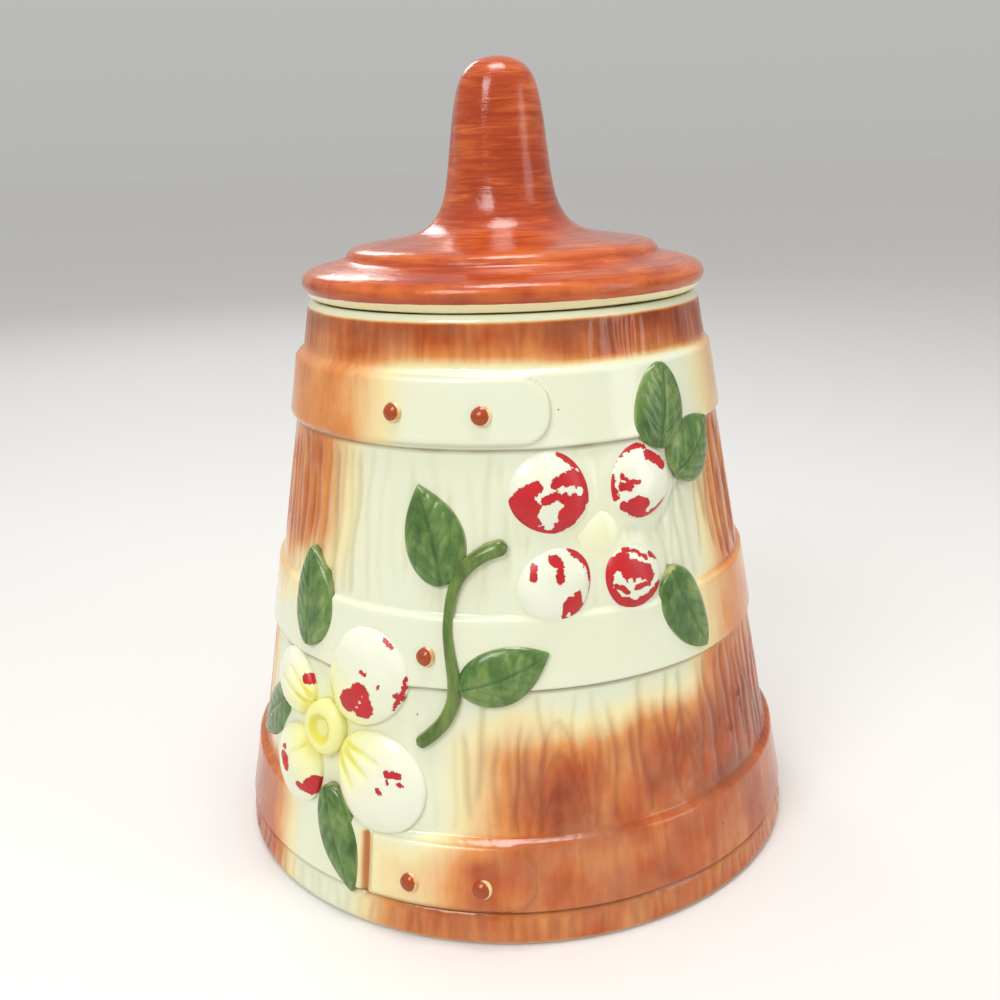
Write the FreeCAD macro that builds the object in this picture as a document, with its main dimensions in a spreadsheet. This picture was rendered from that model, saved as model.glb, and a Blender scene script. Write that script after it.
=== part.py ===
import FreeCAD, Part
import math
import os

import Sketcher
from FreeCAD import Placement, Rotation, Vector

# A glazed biscuit jar shaped as a small coopered churn: one hollow jar, one lift-off lid, and the
# raised ornament that stands on the jar's wall. Millimetres, Z up, origin under the middle of the
# foot. The decorated front faces -Y. An angle is measured from the front and grows towards +X.

SIZES = {
    # Jar
    "jar_height": 190.5,
    "wall_foot_radius": 100.0,
    "wall_mouth_radius": 66.5,
    "wall_thickness": 5.4,
    "floor_thickness": 6.5,
    "floor_round": 9.0,
    "rim_outer_round": 2.2,
    "rim_inner_round": 1.6,
    "foot_relief": 1.9,
    "foot_edge_height": 3.6,
    "foot_round": 3.0,
    "foot_groove": 1.0,
    "foot_ring_inset": 4.0,
    "foot_ring_width": 9.0,
    "foot_recess": 1.5,
    # Hoops
    "hoop_height": 22.5,
    "hoop_edge_round": 0.7,
    "low_hoop_relief": 2.4,
    "middle_hoop_relief": 1.5,
    "top_hoop_relief": 1.5,
    "low_hoop_bottom": 11.5,
    "middle_hoop_bottom": 80.0,
    "top_hoop_below_rim": 16.0,
    # Laps, where the end of a hoop lies over itself
    "lap_relief": 0.8,
    "lap_margin": 1.0,
    "lap_corner": 9.0,
    "lap_sink": 0.5,
    "low_lap_start": -28.0,
    "low_lap_end": 3.5,
    "top_lap_start": -80.0,
    "top_lap_end": 10.5,
    # Rivets
    "rivet_radius": 3.1,
    "rivet_sink": 0.4,
    # Lid
    "lid_seat_gap": 0.3,
    "lid_seat_inset": 1.2,
    "lid_overhang": 2.2,
    "lid_bevel_height": 3.4,
    "lid_edge_thickness": 5.2,
    "lid_edge_round": 2.4,
    "lid_shoulder_width": 14.1,
    "lid_shoulder_rise": 2.8,
    "lid_step_height": 4.0,
    "lid_step_slope": 2.0,
    "lid_step_round": 1.6,
    "lid_crown_rise": 3.4,
    "lid_wall": 5.0,
    "knob_height": 56.9,
    "knob_base_radius": 19.6,
    "knob_top_radius": 12.8,
    "knob_top_round": 11.0,
    "knob_flare": 14.0,
    "knob_wall": 4.8,
    "knob_inside_round": 6.0,
    "knob_inside_flare": 9.0,
    "ring_clearance": 1.6,
    "ring_depth": 10.0,
    "ring_thickness": 4.6,
    "ring_round": 1.4,
    # Leaves, petals and stem
    "sprig_sink": 1.0,
    "leaf_edge": 0.9,
    "leaf_crown": 2.3,
    "petal_edge": 0.5,
    "petal_crown": 3.6,
    "stem_edge": 0.9,
    "stem_crown": 2.4,
    # Middles of the two flowers
    "cup_angle": -42.5,
    "cup_height": 60.5,
    "cup_radius": 9.4,
    "cup_relief": 3.6,
    "cup_round": 1.8,
    "cup_hollow_radius": 6.0,
    "cup_hollow_depth": 2.0,
    "button_angle": 20.5,
    "button_height": 124.4,
    "button_radius": 8.0,
    "button_relief": 1.3,
    "button_round": 1.1,
}

# A leaf or petal lies along a line from its base to its tip. Each line here gives the base's angle
# and height, the tip's angle and height, the width, and the hoop whose face it stands on.
SPRIG_FIELDS = ("base_angle", "base_height", "tip_angle", "tip_height", "width")
LEAVES = {
    "top_leaf_right": (42.8, 138.5, 58.8, 153.2, 20.5, "top"),
    "top_leaf_left": (37.6, 147.6, 41.6, 173.4, 21.0, "top"),
    "right_leaf": (37.0, 110.3, 45.2, 82.8, 17.5, "middle"),
    "upper_leaf": (-14.0, 111.5, -20.3, 141.3, 19.5, None),
    "middle_leaf": (-10.8, 80.8, 7.3, 91.6, 17.5, "middle"),
    "left_leaf": (-49.6, 84.0, -51.4, 116.3, 20.5, "middle"),
    "far_left_leaf": (-58.0, 61.5, -74.0, 38.5, 17.0, None),
    "low_leaf": (-40.0, 42.3, -31.9, 10.8, 15.5, "low"),
}
PETALS = {
    "left_petal_upper_right": (-37.9, 66.4, -26.1, 94.0, 29.5, "middle"),
    "left_petal_lower_right": (-36.0, 59.8, -20.0, 36.6, 31.0, "middle"),
    "left_petal_lower_left": (-45.5, 54.5, -55.0, 33.5, 27.0, "middle"),
    "left_petal_upper_left": (-46.5, 64.5, -61.0, 75.0, 20.0, "middle"),
    "right_petal_upper_left": (16.3, 129.4, 2.3, 147.6, 24.4, None),
    "right_petal_upper_right": (25.8, 129.6, 38.0, 148.0, 22.4, None),
    "right_petal_lower_left": (15.7, 120.2, 3.4, 103.0, 21.8, None),
    "right_petal_lower_right": (22.2, 118.4, 32.6, 103.0, 20.0, None),
}

# The stem's bends from the left flower to the end of its branch: angle, height and width
STEM_FIELDS = ("angle", "height", "width")
STEM_HOOP = "middle"
STEM = (
    (-19.6, 62.1, 4.0),
    (-16.8, 65.4, 4.5),
    (-14.0, 70.0, 4.5),
    (-12.2, 76.0, 4.4),
    (-11.8, 83.0, 4.3),
    (-12.7, 90.5, 3.5),
    (-13.4, 98.0, 3.0),
    (-13.2, 106.0, 3.2),
    (-11.7, 113.5, 4.0),
    (-8.8, 118.8, 4.6),
    (-4.9, 122.3, 5.0),
    (-0.6, 123.9, 5.0),
)

# Rivets: hoop, angle, and height above the hoop's lower edge
RIVETS = {
    "top_rivet_left": ("top", -27.2, 10.7),
    "top_rivet_right": ("top", -5.7, 10.3),
    "middle_rivet": ("middle", -18.0, 10.0),
    "low_rivet_left": ("low", -20.3, 7.6),
    "low_rivet_right": ("low", -6.8, 8.1),
}
LAPPED_HOOPS = ("low", "top")

# The ornament and the middle hoop are placed on a jar as tall as this. On another jar they keep
# their share of its height.
DRAWN_JAR_HEIGHT = 190.5

# A sprig is widest at a share of its way from base to tip. Its base is round, its tip is as
# pointed as its taper says, and its crown falls towards the ends.
ROUND_TAPER = 0.5
LEAF_FORM = {"widest": 0.42, "tip_taper": 0.95, "crown_taper": 0.5}
PETAL_FORM = {"widest": 0.55, "tip_taper": 0.5, "crown_taper": 0.6}
SPRIG_SECTIONS = 11
BLUNT_END = 0.35

# Two places this close, in mm, are the same place.
NEAR = 0.02

doc = FreeCAD.newDocument("biscuit_jar")
sheet = doc.addObject("Spreadsheet::Sheet", "sizes")


# The sheet, and expressions made from its names


def fill_sheet():
    """Writes every driving dimension into the sheet under its own name."""
    cells = dict(SIZES)
    for name, line in {**LEAVES, **PETALS}.items():
        for field, value in zip(SPRIG_FIELDS, line):
            cells[f"{name}_{field}"] = value
    for bend, line in enumerate(STEM, start=1):
        for field, value in zip(STEM_FIELDS, line):
            cells[f"stem_bend_{bend}_{field}"] = value
    for name, (_, angle, rise) in RIVETS.items():
        cells[f"{name}_angle"] = angle
        cells[f"{name}_rise"] = rise
    for row, (alias, value) in enumerate(cells.items(), start=1):
        sheet.set(f"A{row}", alias)
        sheet.set(f"B{row}", str(value))
        sheet.setAlias(f"B{row}", alias)
    doc.recompute()


def size(alias):
    return float(getattr(sheet, alias))


def worked_out(expression):
    """The value that an expression of the sheet's names has now."""
    return float(sheet.evalExpression(expression))


WALL_SLOPE = "((sizes.wall_foot_radius - sizes.wall_mouth_radius) / sizes.jar_height)"
MOUTH_RADIUS = "(sizes.wall_mouth_radius - sizes.wall_thickness)"
SEAT = "(sizes.jar_height + sizes.lid_seat_gap)"


def wall_at(height):
    """Outside radius of the stave wall at a height, as an expression."""
    return f"(sizes.wall_foot_radius - {WALL_SLOPE} * ({height}))"


def hoop_bottom(hoop):
    return {
        "low": "sizes.low_hoop_bottom",
        "middle": f"(sizes.middle_hoop_bottom * sizes.jar_height / {DRAWN_JAR_HEIGHT})",
        "top": "(sizes.jar_height - sizes.top_hoop_below_rim - sizes.hoop_height)",
    }[hoop]


def hoop_at(hoop, height):
    return f"({wall_at(height)} + sizes.{hoop}_hoop_relief)"


# Sketches and turned features


def bind(sketch, kind, side, end, name, expression):
    """Holds one coordinate of a side's end to an expression."""
    index = sketch.addConstraint(Sketcher.Constraint(kind, -1, 1, side, end, worked_out(expression)))
    sketch.renameConstraint(index, name)
    sketch.setExpression(f"Constraints.{name}", expression)


def add_side(sketch, start, finish, centre=None):
    """Adds a line, or an arc of less than half a turn about a centre, and tells which of its ends
    lies at the start. A sketch's arcs run anticlockwise, so some run back from the finish."""
    if centre is None:
        sketch.addGeometry(Part.LineSegment(start, finish), False)
        return 1, 2
    angles = [math.atan2(point.y - centre.y, point.x - centre.x) for point in (start, finish)]
    circle = Part.Circle(centre, Vector(0, 0, 1), start.distanceToPoint(centre))
    if (angles[1] - angles[0]) % (2 * math.pi) < math.pi:
        sketch.addGeometry(Part.ArcOfCircle(circle, angles[0], angles[1]), False)
        return 1, 2
    sketch.addGeometry(Part.ArcOfCircle(circle, angles[1], angles[0]), False)
    return 2, 1


def outline(body, name, corners, turn="0", arcs=None):
    """A closed outline in a plane through the jar's axis, turned from +X by some degrees. Each
    corner is a radius and a height. A side named in arcs, by the corner that it starts from, is an
    arc, given by its centre's radius and height and its own radius. All are expressions."""
    arcs = arcs or {}
    sketch = body.newObject("Sketcher::SketchObject", name)
    plane = next(item for item in body.Origin.OriginFeatures if item.Role == "XZ_Plane")
    sketch.AttachmentSupport = [(plane, "")]
    sketch.MapMode = "FlatFace"
    sketch.AttachmentOffset = Placement(Vector(), Rotation(Vector(0, 1, 0), worked_out(turn)))
    sketch.setExpression("AttachmentOffset.Rotation.Angle", turn)
    points = [Vector(worked_out(radius), worked_out(height), 0) for radius, height in corners]
    ends = []
    for k, point in enumerate(points):
        centre = Vector(*(worked_out(place) for place in arcs[k][:2]), 0) if k in arcs else None
        ends.append(add_side(sketch, point, points[(k + 1) % len(points)], centre))
    for k, (radius, height) in enumerate(corners):
        start, after = ends[k][0], (k + 1) % len(corners)
        sketch.addConstraint(Sketcher.Constraint("Coincident", k, ends[k][1], after, ends[after][0]))
        if radius == "0":
            sketch.addConstraint(Sketcher.Constraint("PointOnObject", k, start, -2))
        else:
            bind(sketch, "DistanceX", k, start, f"radius_{k}", radius)
        if height == "0":
            sketch.addConstraint(Sketcher.Constraint("PointOnObject", k, start, -1))
        else:
            bind(sketch, "DistanceY", k, start, f"height_{k}", height)
        if k in arcs:
            index = sketch.addConstraint(Sketcher.Constraint("Radius", k, worked_out(arcs[k][2])))
            sketch.renameConstraint(index, f"arc_{k}")
            sketch.setExpression(f"Constraints.arc_{k}", arcs[k][2])
    return sketch


def turned(body, name, sketch, angle="360"):
    """Turns an outline about the jar's axis."""
    feature = body.newObject("PartDesign::Revolution", name)
    feature.Profile = sketch
    feature.ReferenceAxis = (sketch, ["V_Axis"])
    feature.setExpression("Angle", angle)
    doc.recompute()
    return feature


def round_edges(body, name, base, radius, edges):
    feature = body.newObject("PartDesign::Fillet", name)
    feature.Base = (base, edges)
    feature.setExpression("Radius", radius)
    doc.recompute()
    return feature


def ring_edges(shape, radius, height):
    """Names of the round edges about the jar's axis at a radius and height."""
    names = []
    for k, edge in enumerate(shape.Edges, start=1):
        if not isinstance(edge.Curve, Part.Circle):
            continue
        off_axis = edge.Curve.Center.distanceToPoint(Vector(0, 0, height))
        if off_axis < NEAR and abs(edge.Curve.Radius - radius) < NEAR:
            names.append(f"Edge{k}")
    return names


def rounded(body, name, base, radius, corners):
    """Rounds turned corners, each given as it stands in the outline."""
    edges = []
    for corner in corners:
        place = [worked_out(expression) for expression in corner]
        found = ring_edges(base.Shape, *place)
        if not found:
            raise ValueError(f"{name}: no edge at radius {place[0]:.2f}, height {place[1]:.2f}")
        edges += found
    return round_edges(body, name, base, radius, edges)


# Jar


def hoop_corners(hoop):
    """A hoop's section, from its lower inner corner up."""
    bottom = hoop_bottom(hoop)
    top = f"({bottom} + sizes.hoop_height)"
    return [
        (wall_at(bottom), bottom),
        (hoop_at(hoop, bottom), bottom),
        (hoop_at(hoop, top), top),
        (wall_at(top), top),
    ]


def make_jar():
    body = doc.addObject("PartDesign::Body", "jar_body")
    hoops = {hoop: hoop_corners(hoop) for hoop in ("low", "middle", "top")}
    foot_radius = f"({wall_at('sizes.foot_edge_height')} + sizes.foot_relief)"
    ring_outside = f"({foot_radius} - sizes.foot_ring_inset)"
    ring_inside = f"({ring_outside} - sizes.foot_ring_width)"
    inner_floor_radius = f"({wall_at('sizes.floor_thickness')} - sizes.wall_thickness)"
    groove_bottom = "(sizes.low_hoop_bottom - sizes.foot_groove)"
    foot_side = (foot_radius, "sizes.foot_edge_height")
    foot_top = (f"({wall_at(groove_bottom)} + sizes.foot_relief)", groove_bottom)
    rim_outside = (wall_at("sizes.jar_height"), "sizes.jar_height")
    rim_inside = (MOUTH_RADIUS, "sizes.jar_height")
    floor_corner = (inner_floor_radius, "sizes.floor_thickness")
    corners = [
        ("0", "sizes.foot_recess"),
        (ring_inside, "sizes.foot_recess"),
        (ring_inside, "0"),
        (ring_outside, "0"),
        foot_side,
        foot_top,
        *hoops["low"],
        *hoops["middle"],
        *hoops["top"],
        rim_outside,
        rim_inside,
        floor_corner,
        ("0", "sizes.floor_thickness"),
    ]
    step = turned(body, "wall_and_hoops", outline(body, "wall_section", corners))
    step = rounded(body, "rim_outer_edge", step, "sizes.rim_outer_round", [rim_outside])
    step = rounded(body, "rim_inner_edge", step, "sizes.rim_inner_round", [rim_inside])
    step = rounded(body, "inner_floor_edge", step, "sizes.floor_round", [floor_corner])
    step = rounded(body, "foot_edge", step, "sizes.foot_round", [foot_side])
    for hoop, section in hoops.items():
        step = rounded(body, f"{hoop}_hoop_edges", step, "sizes.hoop_edge_round", section[1:3])
    laps = [make_lap(hoop) for hoop in LAPPED_HOOPS]
    joined = body.newObject("PartDesign::Boolean", "laps_joined")
    joined.Type = "Fuse"
    joined.setObjects(laps)
    body.Tip = joined
    doc.recompute()
    return body


def make_lap(hoop):
    """The riveted lap of a hoop: a raised plate whose free end has rounded corners."""
    body = doc.addObject("PartDesign::Body", f"{hoop}_lap")
    bottom = f"({hoop_bottom(hoop)} + sizes.lap_margin)"
    top = f"({hoop_bottom(hoop)} + sizes.hoop_height - sizes.lap_margin)"
    start, end = f"sizes.{hoop}_lap_start", f"sizes.{hoop}_lap_end"
    section = [
        (f"({hoop_at(hoop, bottom)} - sizes.lap_sink)", bottom),
        (f"({hoop_at(hoop, bottom)} + sizes.lap_relief)", bottom),
        (f"({hoop_at(hoop, top)} + sizes.lap_relief)", top),
        (f"({hoop_at(hoop, top)} - sizes.lap_sink)", top),
    ]
    sketch = outline(body, f"{hoop}_lap_section", section, turn=f"({start} - 90)")
    plate = turned(body, f"{hoop}_lap_plate", sketch, angle=f"({end} - {start})")
    for name, height, outwards, inwards in (("lower", bottom, "-", "+"), ("upper", top, "+", "-")):
        beyond = f"({height} {outwards} sizes.lap_margin)"
        inside = f"({height} {inwards} sizes.lap_corner)"
        corners = [
            ("0", beyond),
            ("sizes.lap_corner", beyond),
            ("sizes.lap_corner", height),
            ("0", inside),
        ]
        arc = {2: ("sizes.lap_corner", inside, "sizes.lap_corner")}
        spandrel = outline(body, f"{hoop}_{name}_spandrel", corners, f"({end} - 180)", arc)
        cut = body.newObject("PartDesign::Pocket", f"{hoop}_lap_{name}_corner")
        cut.Profile = spandrel
        cut.Type = "ThroughAll"
        doc.recompute()
    body.Tip = cut
    return body


# Lid


def make_lid():
    body = doc.addObject("PartDesign::Body", "lid")
    edge_radius = "(sizes.wall_mouth_radius + sizes.lid_overhang)"
    seat_radius = "(sizes.wall_mouth_radius - sizes.lid_seat_inset)"
    ring_outside = f"({MOUTH_RADIUS} - sizes.ring_clearance)"
    ring_inside = f"({ring_outside} - sizes.ring_thickness)"
    ring_bottom = f"({SEAT} - sizes.ring_depth)"
    edge_bottom = f"({SEAT} + sizes.lid_bevel_height)"
    edge_top = f"({edge_bottom} + sizes.lid_edge_thickness)"
    shoulder_radius = f"({edge_radius} - sizes.lid_shoulder_width)"
    step_bottom = f"({edge_top} + sizes.lid_shoulder_rise)"
    step_radius = f"({shoulder_radius} - sizes.lid_step_slope)"
    step_top = f"({step_bottom} + sizes.lid_step_height)"
    crown = f"({step_top} + sizes.lid_crown_rise)"
    knob_top = f"({crown} + sizes.knob_height)"
    hollow_top = f"({knob_top} - sizes.knob_wall)"
    corner = {
        "knob_top": ("sizes.knob_top_radius", knob_top),
        "knob_base": ("sizes.knob_base_radius", crown),
        "step_top": (step_radius, step_top),
        "step_bottom": (shoulder_radius, step_bottom),
        "edge_top": (edge_radius, edge_top),
        "edge_bottom": (edge_radius, edge_bottom),
        "seat": (seat_radius, SEAT),
        "ring_root": (ring_outside, SEAT),
        "ring_outside": (ring_outside, ring_bottom),
        "ring_inside": (ring_inside, ring_bottom),
        "under_shoulder": (ring_inside, f"({step_bottom} - sizes.lid_wall)"),
        "under_step": (f"({step_radius} - sizes.lid_wall)", f"({step_top} - sizes.lid_wall)"),
        "hollow_base": ("(sizes.knob_base_radius - sizes.knob_wall)", f"({crown} - sizes.lid_wall)"),
        "hollow_top": ("(sizes.knob_top_radius - sizes.knob_wall)", hollow_top),
    }
    section = outline(body, "lid_section", [("0", knob_top), *corner.values(), ("0", hollow_top)])
    step = turned(body, "crown_and_knob", section)
    for name, radius, keys in (
        ("knob_dome", "sizes.knob_top_round", ["knob_top"]),
        ("knob_hollow_dome", "sizes.knob_inside_round", ["hollow_top"]),
        ("knob_foot", "sizes.knob_flare", ["knob_base"]),
        ("knob_hollow_foot", "sizes.knob_inside_flare", ["hollow_base"]),
        ("step_edges", "sizes.lid_step_round", ["step_top", "step_bottom"]),
        ("lid_edge", "sizes.lid_edge_round", ["edge_top", "edge_bottom"]),
        ("ring_edges", "sizes.ring_round", ["ring_outside", "ring_inside"]),
    ):
        step = rounded(body, name, step, radius, [corner[key] for key in keys])
    body.Tip = step
    doc.recompute()
    return body


# Leaves, petals and stem: arched bodies that lie on the wall


def wall_radius(height):
    return size("wall_foot_radius") - worked_out(WALL_SLOPE) * height


def outward(angle):
    """The level direction that points straight out of the wall at an angle."""
    turn = math.radians(angle)
    return Vector(math.sin(turn), -math.cos(turn), 0)


def on_wall(angle, height, proud=0.0):
    """The point at an angle and height that stands so far proud of the stave wall."""
    return outward(angle) * (wall_radius(height) + proud) + Vector(0, 0, height)


def drawn(height):
    """A height of the ornament, on the jar as it is sized now."""
    return height * size("jar_height") / DRAWN_JAR_HEIGHT


def degrees_per_mm(height):
    return math.degrees(1 / wall_radius(height))


def arch(centre, along, half_width, edge, crown):
    """A flat closed section across a sprig: an arched top, two sides, and an underside in the wall."""
    spread = degrees_per_mm(centre[1])
    feet = []
    for side in (-1, 1):
        reach = side * half_width
        feet.append(on_wall(centre[0] + along[1] * reach * spread, centre[1] - along[0] * reach))
    out = outward(centre[0])
    middle = (feet[0] + feet[1]) / 2
    bulge = (on_wall(*centre) - middle).dot(out)
    top_left, top_right = (foot + out * edge for foot in feet)
    low_left, low_right = (foot - out * size("sprig_sink") for foot in feet)
    edges = [
        Part.Arc(top_left, middle + out * (bulge + crown), top_right).toShape(),
        Part.LineSegment(top_right, low_right).toShape(),
        Part.LineSegment(low_right, low_left).toShape(),
        Part.LineSegment(low_left, top_left).toShape(),
    ]
    return Part.Wire(edges)


def course(start, finish):
    """Length in mm of the way between two places on the wall, and its direction as run and rise."""
    run = (finish[0] - start[0]) / degrees_per_mm((start[1] + finish[1]) / 2)
    rise = finish[1] - start[1]
    length = math.hypot(run, rise)
    return length, (run / length, rise / length)


def ground_relief(hoop):
    return size(f"{hoop}_hoop_relief") if hoop else 0.0


def width_share(share, form):
    """A sprig's width at a share of its way, where its widest place is 1."""
    widest = form["widest"]
    if share < widest:
        return (1 - (1 - share / widest) ** 2) ** ROUND_TAPER
    return (1 - ((share - widest) / (1 - widest)) ** 2) ** form["tip_taper"]


def sprig_shape(name, hoop, edge, crown, form):
    """A leaf or a petal, lofted through arches from its base to its tip."""
    base = (size(f"{name}_base_angle"), drawn(size(f"{name}_base_height")))
    tip = (size(f"{name}_tip_angle"), drawn(size(f"{name}_tip_height")))
    length, along = course(base, tip)
    spread = degrees_per_mm((base[1] + tip[1]) / 2)
    ground = ground_relief(hoop)
    arches = []
    for k in range(SPRIG_SECTIONS):
        turn = math.pi * (k + BLUNT_END) / (SPRIG_SECTIONS - 1 + 2 * BLUNT_END)
        share = (1 - math.cos(turn)) / 2
        swell = width_share(share, form)
        reach = share * length
        centre = (base[0] + along[0] * reach * spread, base[1] + along[1] * reach)
        half_width = size(f"{name}_width") / 2 * swell
        top = edge + (crown - edge) * swell ** form["crown_taper"]
        arches.append(arch(centre, along, half_width, ground + edge, ground + top))
    return Part.makeLoft(arches, True, False)


def stem_shape():
    bends = [[size(f"stem_bend_{k}_{field}") for field in STEM_FIELDS] for k in range(1, len(STEM) + 1)]
    places = [(angle, drawn(height)) for angle, height, _ in bends]
    ground = ground_relief(STEM_HOOP)
    edge, crown = ground + size("stem_edge"), ground + size("stem_crown")
    arches = []
    for k, (_, _, width) in enumerate(bends):
        _, along = course(places[max(k - 1, 0)], places[min(k + 1, len(places) - 1)])
        arches.append(arch(places[k], along, width / 2, edge, crown))
    return Part.makeLoft(arches, True, False)


# Middles of the flowers: round bosses that stand square to the wall


def boss_shape(name, ground):
    """A round boss with a rounded rim, the middle of its face, and the way it faces."""
    angle, height = size(f"{name}_angle"), drawn(size(f"{name}_height"))
    lean = math.atan(worked_out(WALL_SLOPE))
    out = outward(angle) * math.cos(lean) + Vector(0, 0, math.sin(lean))
    root = on_wall(angle, height) - out * size("sprig_sink")
    tall = size("sprig_sink") + ground + size(f"{name}_relief")
    boss = Part.makeCylinder(size(f"{name}_radius"), tall, root, out)
    face = root + out * tall
    rim = [edge for edge in boss.Edges if edge.CenterOfMass.distanceToPoint(face) < size(f"{name}_round")]
    return boss.makeFillet(size(f"{name}_round"), rim), face, out


def cup_shape():
    """The left flower's middle, with a shallow hollow in its face."""
    boss, face, out = boss_shape("cup", ground_relief("middle"))
    radius, depth = size("cup_hollow_radius"), size("cup_hollow_depth")
    ball = (radius**2 + depth**2) / (2 * depth)
    return boss.cut(Part.makeSphere(ball, face + out * (ball - depth)))


def button_shape():
    return boss_shape("button", 0.0)[0]


# Placing the ornament


def ornament_shapes():
    """Every piece of ornament as it is before it is seated, those that lie on top first."""
    shapes = {}
    for name, line in LEAVES.items():
        shapes[name] = sprig_shape(name, line[-1], size("leaf_edge"), size("leaf_crown"), LEAF_FORM)
    shapes["flower_stem"] = stem_shape()
    shapes["left_flower_cup"] = cup_shape()
    shapes["right_flower_button"] = button_shape()
    for name, line in PETALS.items():
        shapes[name] = sprig_shape(name, line[-1], size("petal_edge"), size("petal_crown"), PETAL_FORM)
    return shapes


def make_ornament(jar):
    """Seats each piece face to face on the jar and against the pieces that lie over it."""
    made = []
    for name, shape in ornament_shapes().items():
        for neighbour in (jar, *made):
            if shape.BoundBox.intersect(neighbour.Shape.BoundBox):
                shape = shape.cut(neighbour.Shape)
        if not shape.Solids:
            raise ValueError(f"{name} has no solid left")
        feature = doc.addObject("Part::Feature", name)
        feature.Shape = max(shape.Solids, key=lambda solid: solid.Volume)
        made.append(feature)
    return made


# Rivets


def make_rivets(jar):
    """Round rivet heads, each a ball sunk in its hoop."""
    heads = []
    for name, (hoop, _, _) in RIVETS.items():
        height = f"({hoop_bottom(hoop)} + sizes.{name}_rise)"
        lap = "sizes.lap_relief" if hoop in LAPPED_HOOPS else "0"
        radius = f"({hoop_at(hoop, height)} + {lap} - sizes.rivet_sink)"
        ball = doc.addObject("Part::Sphere", f"{name}_ball")
        ball.setExpression("Radius", "sizes.rivet_radius")
        ball.setExpression("Placement.Base.x", f"{radius} * sin(sizes.{name}_angle * 1 deg)")
        ball.setExpression("Placement.Base.y", f"-{radius} * cos(sizes.{name}_angle * 1 deg)")
        ball.setExpression("Placement.Base.z", height)
        head = doc.addObject("Part::Cut", name)
        head.Base = ball
        head.Tool = jar
        heads.append(head)
    rivets = doc.addObject("Part::Compound", "hoop_rivets")
    rivets.Links = heads
    doc.recompute()
    return rivets


# Checks and files


def check(parts):
    for item in doc.Objects:
        if {"Invalid", "Error"} & set(item.State):
            raise RuntimeError(f"{item.Label} did not build: {item.State}")
    for part in parts:
        if part.Shape.isNull() or not part.Shape.isValid() or not part.Shape.Solids:
            raise RuntimeError(f"{part.Label} has no sound solid")


def write(parts):
    os.makedirs("parts", exist_ok=True)
    for part in parts:
        part.Shape.exportStep(os.path.join("parts", f"{part.Label}.step"))
        box = part.Shape.BoundBox
        print(
            f"{part.Label}: {len(part.Shape.Solids)} solid, {part.Shape.Volume / 1000:.2f} cm3, "
            f"z {box.ZMin:.1f} to {box.ZMax:.1f}"
        )


fill_sheet()
jar_body = make_jar()
all_parts = [jar_body, make_lid(), *make_ornament(jar_body), make_rivets(jar_body)]
check(all_parts)
write(all_parts)
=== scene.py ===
import math

import bmesh
import bpy
import numpy as np
from mathutils import Matrix, Vector


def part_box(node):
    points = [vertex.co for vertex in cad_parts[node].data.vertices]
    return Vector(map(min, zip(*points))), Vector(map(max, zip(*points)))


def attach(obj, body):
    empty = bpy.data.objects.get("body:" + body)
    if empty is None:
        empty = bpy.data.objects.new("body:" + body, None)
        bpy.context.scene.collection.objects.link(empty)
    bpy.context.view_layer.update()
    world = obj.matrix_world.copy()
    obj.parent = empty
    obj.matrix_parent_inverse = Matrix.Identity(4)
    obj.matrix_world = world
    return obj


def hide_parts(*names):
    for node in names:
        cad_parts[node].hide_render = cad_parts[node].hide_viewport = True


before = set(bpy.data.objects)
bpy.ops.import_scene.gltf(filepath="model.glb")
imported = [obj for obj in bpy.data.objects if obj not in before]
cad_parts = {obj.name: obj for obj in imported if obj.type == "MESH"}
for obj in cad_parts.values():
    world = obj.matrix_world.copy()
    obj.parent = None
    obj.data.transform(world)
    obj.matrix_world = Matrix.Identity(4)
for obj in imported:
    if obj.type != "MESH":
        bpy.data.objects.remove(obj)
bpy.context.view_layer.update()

# The looks of a glazed biscuit jar in the shape of a small coopered churn. Sizes are millimetres
# and degrees until a mesh is made. An angle is measured from the decorated front, which faces -Y,
# and grows towards +X. A place on the wall is an angle and a height.

MM = 0.001

# The jar's grid: how far its decorated front reaches to both sides, and the steps between its
# columns and rows

FRONT_REACH = 104.0
FRONT_STEP = 0.52
BACK_STEP = 1.2
ROW_STEP = 1.8
LAPPED_ROW_STEP = 0.9
LEAST_ROW_STEP = 0.12

# Jar

JAR_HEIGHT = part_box("jar_body")[1].z / MM
FOOT_RADIUS = 100.0
MOUTH_RADIUS = 66.5
SLOPE = (FOOT_RADIUS - MOUTH_RADIUS) / JAR_HEIGHT
WALL = 5.4
FLOOR = 6.5
FLOOR_ROUND = 9.0
FOOT_ROUND = 3.0
RIM_ROUND = 2.2
RIM_INNER_ROUND = 1.6
FOOT_RING = (87.6, 97.2)
FOOT_RECESS = 1.5
FOOT_BAND = {"relief": 1.35, "top": 10.5}

HOOP_HEIGHT = 22.5
HOOPS = {
    "low": {"bottom": 11.5, "relief": 2.4},
    "middle": {"bottom": 80.0, "relief": 1.5},
    "top": {"bottom": 152.0, "relief": 1.5},
}

# Laps: over which angles the fixed end rises, and the angle of the free end

LAPS = {"low": ((-28.3, -27.6), 3.5), "top": ((-96, -76), 10.5)}
LAP_RELIEF = 1.2
LAP_MARGIN = 1.0
LAP_CORNER = 9.0
LAP_GROOVE = {"angle": -29.6, "depth": 1.3, "heights": (8.5, 11, 31, 34)}
RIM_LIP = 188.3

# Ornament: base place, tip place, width and hoop. The upper leaf, the top right leaf, the left
# flower's middle and the two low rivets sit up to 1.5 mm from their solids.

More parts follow.
